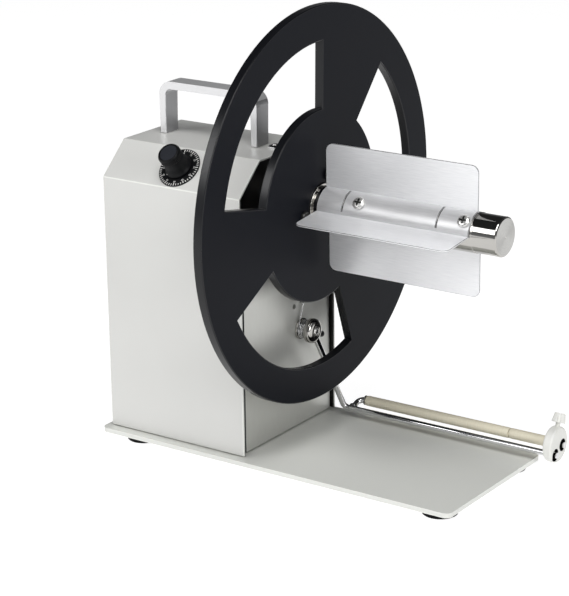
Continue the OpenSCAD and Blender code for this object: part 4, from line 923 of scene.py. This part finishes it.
def pivot_hub():
    """Domed hub with a groove and a screw in its sunk middle."""
    bore, sunk = 4.03, 4.9
    profile = [(bore, 0), (7.2, 0), (8, 0.8), (8, 2.5), (7.6, 2.75), (7.6, 3), (7.95, 3.25), (7.9, 3.8),
               (7.4, 4.6), (6.5, 5.2), (5.3, 5.5), (3.6, 5.6), (3.3, 5.45), (3.1, sunk), (0, sunk),
               (0, 3.6), (bore, 3.6)]
    place = along_x(HUB_X0, PIVOT_Y, PIVOT_Z)
    turned_tube("hub_dome", "pivot_hub", profile, place, POLISHED_STEEL, 96)
    head = screw_set("hub_centre_screw", None, (3, 5.2, 1.1, 1.2),
                     [((HUB_X0 + sunk, PIVOT_Y, PIVOT_Z), (1, 0, 0))], NICKEL)
    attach(head, "arm")


def torsion_spring():
    """Close curls between a leg hooked into the panel and an end in the hub, as in the part's source."""
    per_curl, start_turn = 48, 160

    def round_at(degrees, radius=6.0):
        t = math.radians(degrees)
        return Vector((0, radius * math.cos(t), radius * math.sin(t)))

    leg_way = round_at(70, 1.0)
    pivot = Vector((0, PIVOT_Y, PIVOT_Z))
    x0, bend, leg = SPRING_X0, 1.2, 17.0
    start = round_at(start_turn)
    path = [Vector((PANEL_OUT_X - 2.8, 0, 0)) + start + leg_way * leg]
    for a in range(0, 91, 10):
        t = math.radians(a)
        path.append(Vector((x0 - bend * (1 - math.sin(t)), 0, 0)) + start
                    + leg_way * (leg - bend * (1 - math.cos(t))))
    for k in range(1, 13):
        path.append(Vector((x0, 0, 0)) + start + leg_way * (leg - bend) * (1 - k / 12))
    for k in range(1, per_curl * SPRING_CURLS + 1):
        share = k / per_curl
        path.append(Vector((x0 + SPRING_PITCH * share, 0, 0)) + round_at(start_turn + 360 * share))
    path.append(path[-1] + Vector((2.8, 0, 0)))
    piece = wire("spring_wire", [p + pivot for p in path], 0.8, CHROME, 14)
    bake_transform(piece)
    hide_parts("torsion_spring")


def roller(name, node, x0, x1):
    """Nylon tube with soft ends."""
    bore, outer = 2.1, 3.4
    profile = [(bore, x0), (2.6, x0), (3.05, x0 + 0.2), (3.3, x0 + 0.6), (outer, x0 + 1.3),
               (outer, x1 - 0.5), (3.3, x1 - 0.15), (3.1, x1), (bore, x1)]
    turned_tube(name, node, profile, along_x(0, REAR_Y, REAR_Z), IVORY_NYLON, 64)


swing_arm()
pivot_hub()
torsion_spring()
roller("long_tube", "roller_long", ROLLER_X0, ROLLER_SPLIT_X)
roller("short_tube", "roller_short", ROLLER_SPLIT_X + 0.3, ROLLER_X1)


# Studio: a pale floor and soft light

def area_light(name, at, target, size, power):
    """A soft white light that faces its target."""
    data = bpy.data.lights.new(name, "AREA")
    data.shape = "RECTANGLE"
    data.size, data.size_y = size
    data.energy = power
    lamp = bpy.data.objects.new(name, data)
    aim = (Vector(target) - Vector(at)).to_track_quat("-Z", "Y")
    lamp.matrix_world = Matrix.Translation(at) @ aim.to_matrix().to_4x4()
    bpy.context.scene.collection.objects.link(lamp)


def studio():
    """A floor that glows a little, so that it comes out white, a dim sky and three soft lights."""
    mesh = bpy.data.meshes.new("floor")
    reach = 6
    mesh.from_pydata([(-reach, -reach, 0), (reach, -reach, 0), (reach, reach, 0), (-reach, reach, 0)], [],
                     [(0, 1, 2, 3)])
    glow = {"Emission_Color": (1, 1, 1, 1), "Emission_Strength": 0.93}
    floor = link("floor", mesh, plastic("floor_board", "#8c8c8c", "#909090", 0.7, 2, 0.0, **glow))
    world = bpy.data.worlds.new("studio")
    world.use_nodes = True
    tree = world.node_tree
    tree.nodes.clear()
    way = add(tree, "ShaderNodeTexCoord").outputs["Generated"]
    height = add(tree, "ShaderNodeSeparateXYZ", {0: way}).outputs[2]
    lift = add(tree, "ShaderNodeMapRange", {0: height, 1: 0.0, 2: 0.5, 3: 0.3, 4: 0.03})
    sky = add(tree, "ShaderNodeBackground", {"Color": linear("#f2f4f7"), "Strength": lift.outputs[0]})
    add(tree, "ShaderNodeOutputWorld", {"Surface": sky.outputs[0]})
    bpy.context.scene.world = world
    bpy.context.scene.view_settings.view_transform = "Standard"
    area_light("key", (-1.0, -1.5, 1.15), (-0.02, 0, 0.13), (1.3, 0.8), 14)
    area_light("top", (0.5, -0.8, 1.65), (0, 0, 0.1), (1.1, 1.1), 21)
    area_light("right", (1.5, -0.5, 0.6), (0.0, 0, 0.06), (0.8, 0.6), 8)


studio()
